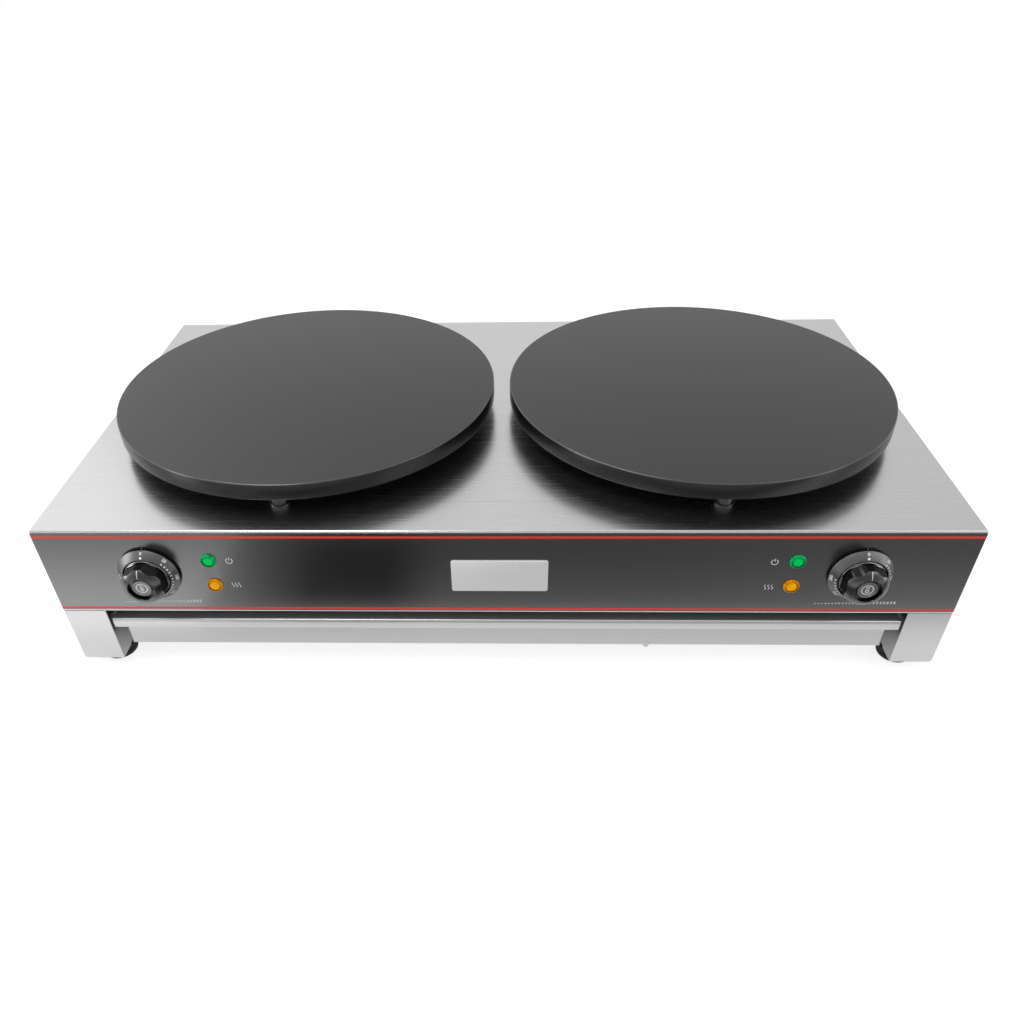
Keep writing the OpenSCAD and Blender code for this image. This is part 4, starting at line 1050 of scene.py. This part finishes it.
# %% Cap print
def printed_ring(name, inner, outer, height, steps=64, angle=360):
    """A flat printed ring, or part of one, whose face is at a height."""
    outline = [(inner, height - PRINT_T), (outer, height - PRINT_T), (outer, height), (inner, height)]
    return turned(name, outline + outline[:1], steps, angle)


def printed_bar(name, width, length, x, y, height):
    """A flat printed bar whose face is at a height."""
    return slab(name, (width, length, PRINT_T), (x, y, height - PRINT_T / 2))


face = CAP_OUT - CAP_STEP + PRINT_T
symbol = [printed_ring("cap_ring", 4.6, 5.6, face), printed_ring("bulb", 0.8, 1.75, face, 24)]
settle(symbol[1], (0, -1.7, 0))
symbol.append(printed_bar("stem_left", 0.75, 3.7, -0.95, 1.2, face))
symbol.append(printed_bar("stem_right", 0.75, 3.7, 0.95, 1.2, face))
symbol.append(printed_bar("stem_top", 2.6, 0.75, 0, 3.2, face))
at_both_dials(joined(symbol, "cap_print", "white_print"), "cap_print", "{}_knob")
print("cap print: a thermometer in a ring")

# %% [markdown]
# ## Signal lamps
# Each lamp has a clear coloured lens. Its bevelled rim bends the light, so it shows a dark ring, and its
# flat face is moulded with a fine grid that scatters the light. The lens is turned, and the grid is raised
# on its face as small square studs. The dark ring is painted shade, in darker tones on the rim and the slope
# inside the crest, and the studs' lighter tone is a painted glint.

# %% Lenses
LENS_R = 7.4
CREST_OUT = 2.9
CREST_R = 6.1
FACE_R = 5.0
FACE_OUT = 1.9
PIN_R = 5
STUD = 0.72
STUD_H = 0.22
STUD_BASE = 0.62 * STUD
STUD_TIP = 0.1
SUNK = 0.02
outline = [(0, -3), (PIN_R, -3), (PIN_R, FILM), (LENS_R, FILM)]
outline += rounding(LENS_R - 0.4, 1.2, 0.4, 0, 45, 3)
outline += rounding(CREST_R, CREST_OUT - 0.35, 0.35, 45, 125, 5)
outline += [(FACE_R, FACE_OUT), (0, FACE_OUT)]
lens = turned("lens", outline, 72)
coat(lens, "green_lens", "green_rim", "green_depth")
# The darker tones on the rim and the slope are painted shade; the studs' lighter tone is a painted glint.
dress(lens, 1, lambda spot, face: hypot(spot.x, spot.y) > CREST_R - 0.2)
dress(lens, 2, lambda spot, face: FACE_R < hypot(spot.x, spot.y) <= CREST_R - 0.2)
studs = []
reach = int(FACE_R / STUD)
for row in range(-reach, reach + 1):
    for column in range(-reach, reach + 1):
        if hypot(row, column) * STUD < FACE_R - 0.7:
            stud = begin("stud", bpy.ops.mesh.primitive_cone_add, vertices=4, radius1=STUD_BASE * MM,
                         radius2=STUD_TIP * MM, depth=STUD_H * MM, rotation=(0, 0, radians(45)))
            stud.location = Vector((column * STUD, row * STUD, FACE_OUT - SUNK + STUD_H / 2)) * MM
            coat(stud, "green_studs")
            studs.append(stud)
joined([lens, *studs], "lens")
bpy.ops.object.transform_apply(location=True, rotation=True, scale=True)
for kind, colour in (("power", "green"), ("heat", "amber")):
    for side in SIDES:
        node = f"{kind}_lens_{side}"
        copy = twin(lens, f"{kind}_lamp_lens_{side}")
        settle(copy, (middle(node, 0), front_y, middle(node, 2)), FACING)
        soften(copy, 30)
        for slot, finish_name in enumerate(("_lens", "_rim", "_depth", "_studs")):
            copy.data.materials[slot] = materials[colour + finish_name]
        belongs(copy, "housing", node)
bpy.data.objects.remove(lens)
print("lenses:", len(studs), "studs each")

# %% [markdown]
# ## Drawer strip
# The drawer's front is a strip of sheet steel, bent over at the top and hemmed at the bottom. The wide
# bend at its top carries the brightest line of the lower half, so it is drawn as a profile with a true
# arc, closed to a face and extruded along the whole width.

# %% Drawer strip
STRIP_T = 0.9
BEND_R = 2.2
HEM_R = 0.45
GROOVE = 0.35
strip_left, strip_right = span("drawer_front", 0)
strip_front, strip_back = span("drawer_front", 1)
strip_low, strip_high = span("drawer_front", 2)
bend_y, bend_z = strip_front + BEND_R, strip_high - BEND_R
profile = [(strip_back, strip_high)] + rounding(bend_y, bend_z, BEND_R, 90, 180, 8)
groove_z = bend_z - 0.3
profile += [(strip_front, groove_z), (strip_front + GROOVE, groove_z - 0.15)]
profile += [(strip_front + GROOVE, groove_z - 0.55), (strip_front, groove_z - 0.7)]
profile += [(strip_front, strip_low + HEM_R)]
profile += rounding(strip_front + HEM_R, strip_low + HEM_R, HEM_R, 180, 300, 4)
profile += [(strip_front + STRIP_T, strip_low + 0.4)] + rounding(bend_y, bend_z, BEND_R - STRIP_T, 180, 90, 6)
profile += [(strip_back, strip_high - STRIP_T), (strip_back, strip_high)]
strip = draw_outline("drawer_strip", [(strip_left, y, z) for y, z in profile])
bpy.ops.mesh.remove_doubles(threshold=CLOSE)
bpy.ops.mesh.select_all(action="SELECT")
bpy.ops.mesh.edge_face_add()
bpy.ops.mesh.extrude_region_move(TRANSFORM_OT_translate={"value": ((strip_right - strip_left) * MM, 0, 0)})
close_surface()
bpy.ops.object.mode_set(mode="OBJECT")
coat(strip, "strip_steel", "drawer_flange")
# The top flange takes the darker copy: painted shade in the gap under the body.
dress(strip, 1, lambda spot, face: face.normal.z > 0.98 and spot.z > strip_high - 0.1)
soften(strip, 25)
belongs(strip, "drawer", "drawer_front")
print("drawer strip", round(strip_right - strip_left, 1), "mm wide")

# %% [markdown]
# ## Badge plate
# The badge is left blank: a brushed plate a millimetre thick, with round corners and a soft edge, glued on
# the film. It starts as a slab whose four upright edges are bevelled round, and its front edge after that.

# %% Badge plate
BADGE_T = 1.2
BADGE_CORNER = 2.2
BADGE_EDGE = 0.35
badge_x, badge_z = span("badge_plate", 0), span("badge_plate", 2)
badge = slab("badge_blank", (badge_x[1] - badge_x[0], BADGE_T, badge_z[1] - badge_z[0]),
             (middle("badge_plate", 0), label_y - BADGE_T / 2, middle("badge_plate", 2)))
bpy.ops.object.mode_set(mode="EDIT")
select_parts("edges", lambda spot, edge: abs(edge.verts[0].co.y - edge.verts[1].co.y) > BADGE_T / 2 * MM)
bpy.ops.mesh.bevel(offset=BADGE_CORNER * MM, segments=6, affect="EDGES")
select_parts("faces", lambda spot, face: face.normal.y < -0.9)
bpy.ops.mesh.region_to_loop()
bpy.ops.mesh.bevel(offset=BADGE_EDGE * MM, segments=3, affect="EDGES")
close_surface()
bpy.ops.object.mode_set(mode="OBJECT")
coat(badge, "badge_steel")
soften(badge, 40)
belongs(badge, "housing", "badge_plate")
print("badge", [round(v, 1) for v in (*badge_x, *badge_z)])

# %% [markdown]
# ## The printed front
# The front film carries two printed red lines along its whole width. A mask in the film's own finish could
# draw them, but thin slabs that stand out by a hair keep their edges sharp at any distance.

# %% Red lines
LINE_H = (2.5, 2.3)
LINE_Z = (168.1, 81.9)
LINE_T = 0.05
LINE_OUT = 0.02
left_x, right_x = span("front_label", 0)
for name, height, z in zip(("upper", "lower"), LINE_H, LINE_Z):
    line = slab("red_line_" + name, (right_x - left_x, LINE_T, height), (0, label_y - LINE_OUT, z))
    coat(line, "red_print")
    belongs(line, "housing")
print("red lines at", LINE_Z, "mm")

# %% [markdown]
# Beside each lamp and under each dial is a small sign. They are plain ones that any appliance may carry: a
# power sign, three waves for heat, a rising wedge for the temperature, and a tick at the top of the dial.
# Each is drawn lying flat, from bars, rings and wavy strokes, and is then stood up against the film.

# %% Signs on the front
def wave(name, height, swing, width, steps=12):
    """A thin upright wavy stroke that faces upwards before it is settled."""
    points = [(swing * sin(2 * pi * i / steps), height * (i / steps - 0.5), 0) for i in range(steps + 1)]
    piece = draw_outline(name, points)
    bpy.ops.mesh.extrude_region_move(TRANSFORM_OT_translate={"value": (width * MM, 0, 0)})
    bpy.ops.mesh.select_all(action="SELECT")
    bpy.ops.mesh.extrude_region_move(TRANSFORM_OT_translate={"value": (0, 0, PRINT_T * MM)})
    close_surface()
    bpy.ops.object.mode_set(mode="OBJECT")
    return piece


STROKE = 0.8
POWER_R = 3.4
POWER_ARC = 290
WAVE_H = 6.0
WAVE_SWING = 0.8
WAVE_STEP = 3.2


def power_sign():
    ring = printed_ring("power_ring", POWER_R - STROKE, POWER_R, PRINT_T, 40, POWER_ARC)
    settle(ring, (0, 0, 0), 0, radians(POWER_ARC / 2 - 90))
    return joined([ring, printed_bar("power_bar", STROKE, 3.2, 0, 2.3, PRINT_T)], "power_sign", "white_print")


def heat_sign():
    waves = [wave(f"wave_{i}", WAVE_H, WAVE_SWING, STROKE) for i in range(3)]
    for i, piece in enumerate(waves):
        settle(piece, ((i - 1) * WAVE_STEP, 0, 0))
    return joined(waves, "heat_sign", "white_print")


BARS = 24
BAR_STEP = 3.2
BAR_W = 1.9
BAR_LOW = 0.9
BAR_RISE = 2.6
BAR_FOOT = 1.7


def wedge_sign():
    """Thin bars that grow from left to right."""
    bars = []
    for i in range(BARS):
        height = BAR_LOW + BAR_RISE * i / (BARS - 1)
        x = (i - (BARS - 1) / 2) * BAR_STEP
        bars.append(printed_bar(f"bar_{i}", BAR_W, height, x, height / 2 - BAR_FOOT, PRINT_T))
    return joined(bars, "wedge_sign", "grey_print")


def index_tick():
    return joined([printed_bar("tick", 0.6, 2.4, 0, 0, PRINT_T)], "index_tick", "grey_print")


TICK_Z = dial_z + RING_R - 0.6
SIGNS = (
    ("index_tick", index_tick, (dial_x["left"], TICK_Z), (dial_x["right"], TICK_Z)),
    ("power_sign", power_sign, (-251.5, 140.7), (250.5, 140.0)),
    ("heat_sign", heat_sign, (-251.0, 111.4), (250.0, 110.0)),
    ("wedge_sign", wedge_sign, (-327.0, 90.8), (334.6, 90.8)),
)
for kind, make, *spots in SIGNS:
    for side, (x, z) in zip(SIDES, spots):
        sign = make()
        sign.name = sign.data.name = f"{kind}_{side}"
        settle(sign, (x, label_y, z), FACING)
        belongs(sign, "housing")
print("signs:", 2 * len(SIGNS))

# %% [markdown]
# ## Finishing the sheets
# The engineering parts keep their meshes. Three modifiers that stay live make them look like folded
# metal: loose triangles are welded, sharp edges get a hair of a bevel that catches the light, and the
# shading is weighted so that large faces stay flat.

# %% Edges of the engineering parts
EDGE = 0.25
LEG_EDGE = 0.9
FOLD_ANGLE = 40
PLAIN = ("front_label", "wiring", "capillaries")
for name, node in nodes.items():
    only(node)
    node.data.polygons.foreach_set("use_smooth", [True] * len(node.data.polygons))
    weld = node.modifiers.new("weld", "WELD")
    weld.merge_threshold = CLOSE
    if name not in PLAIN:
        edge = node.modifiers.new("edge", "BEVEL")
        edge.width = (LEG_EDGE if name.startswith("leg_") else EDGE) * MM
        edge.segments = 2
        edge.limit_method = "ANGLE"
        edge.angle_limit = radians(FOLD_ANGLE)
        edge.use_clamp_overlap = True
    shade = node.modifiers.new("shade", "WEIGHTED_NORMAL")
    shade.keep_sharp = True
print("finished", len(nodes), "engineering parts")
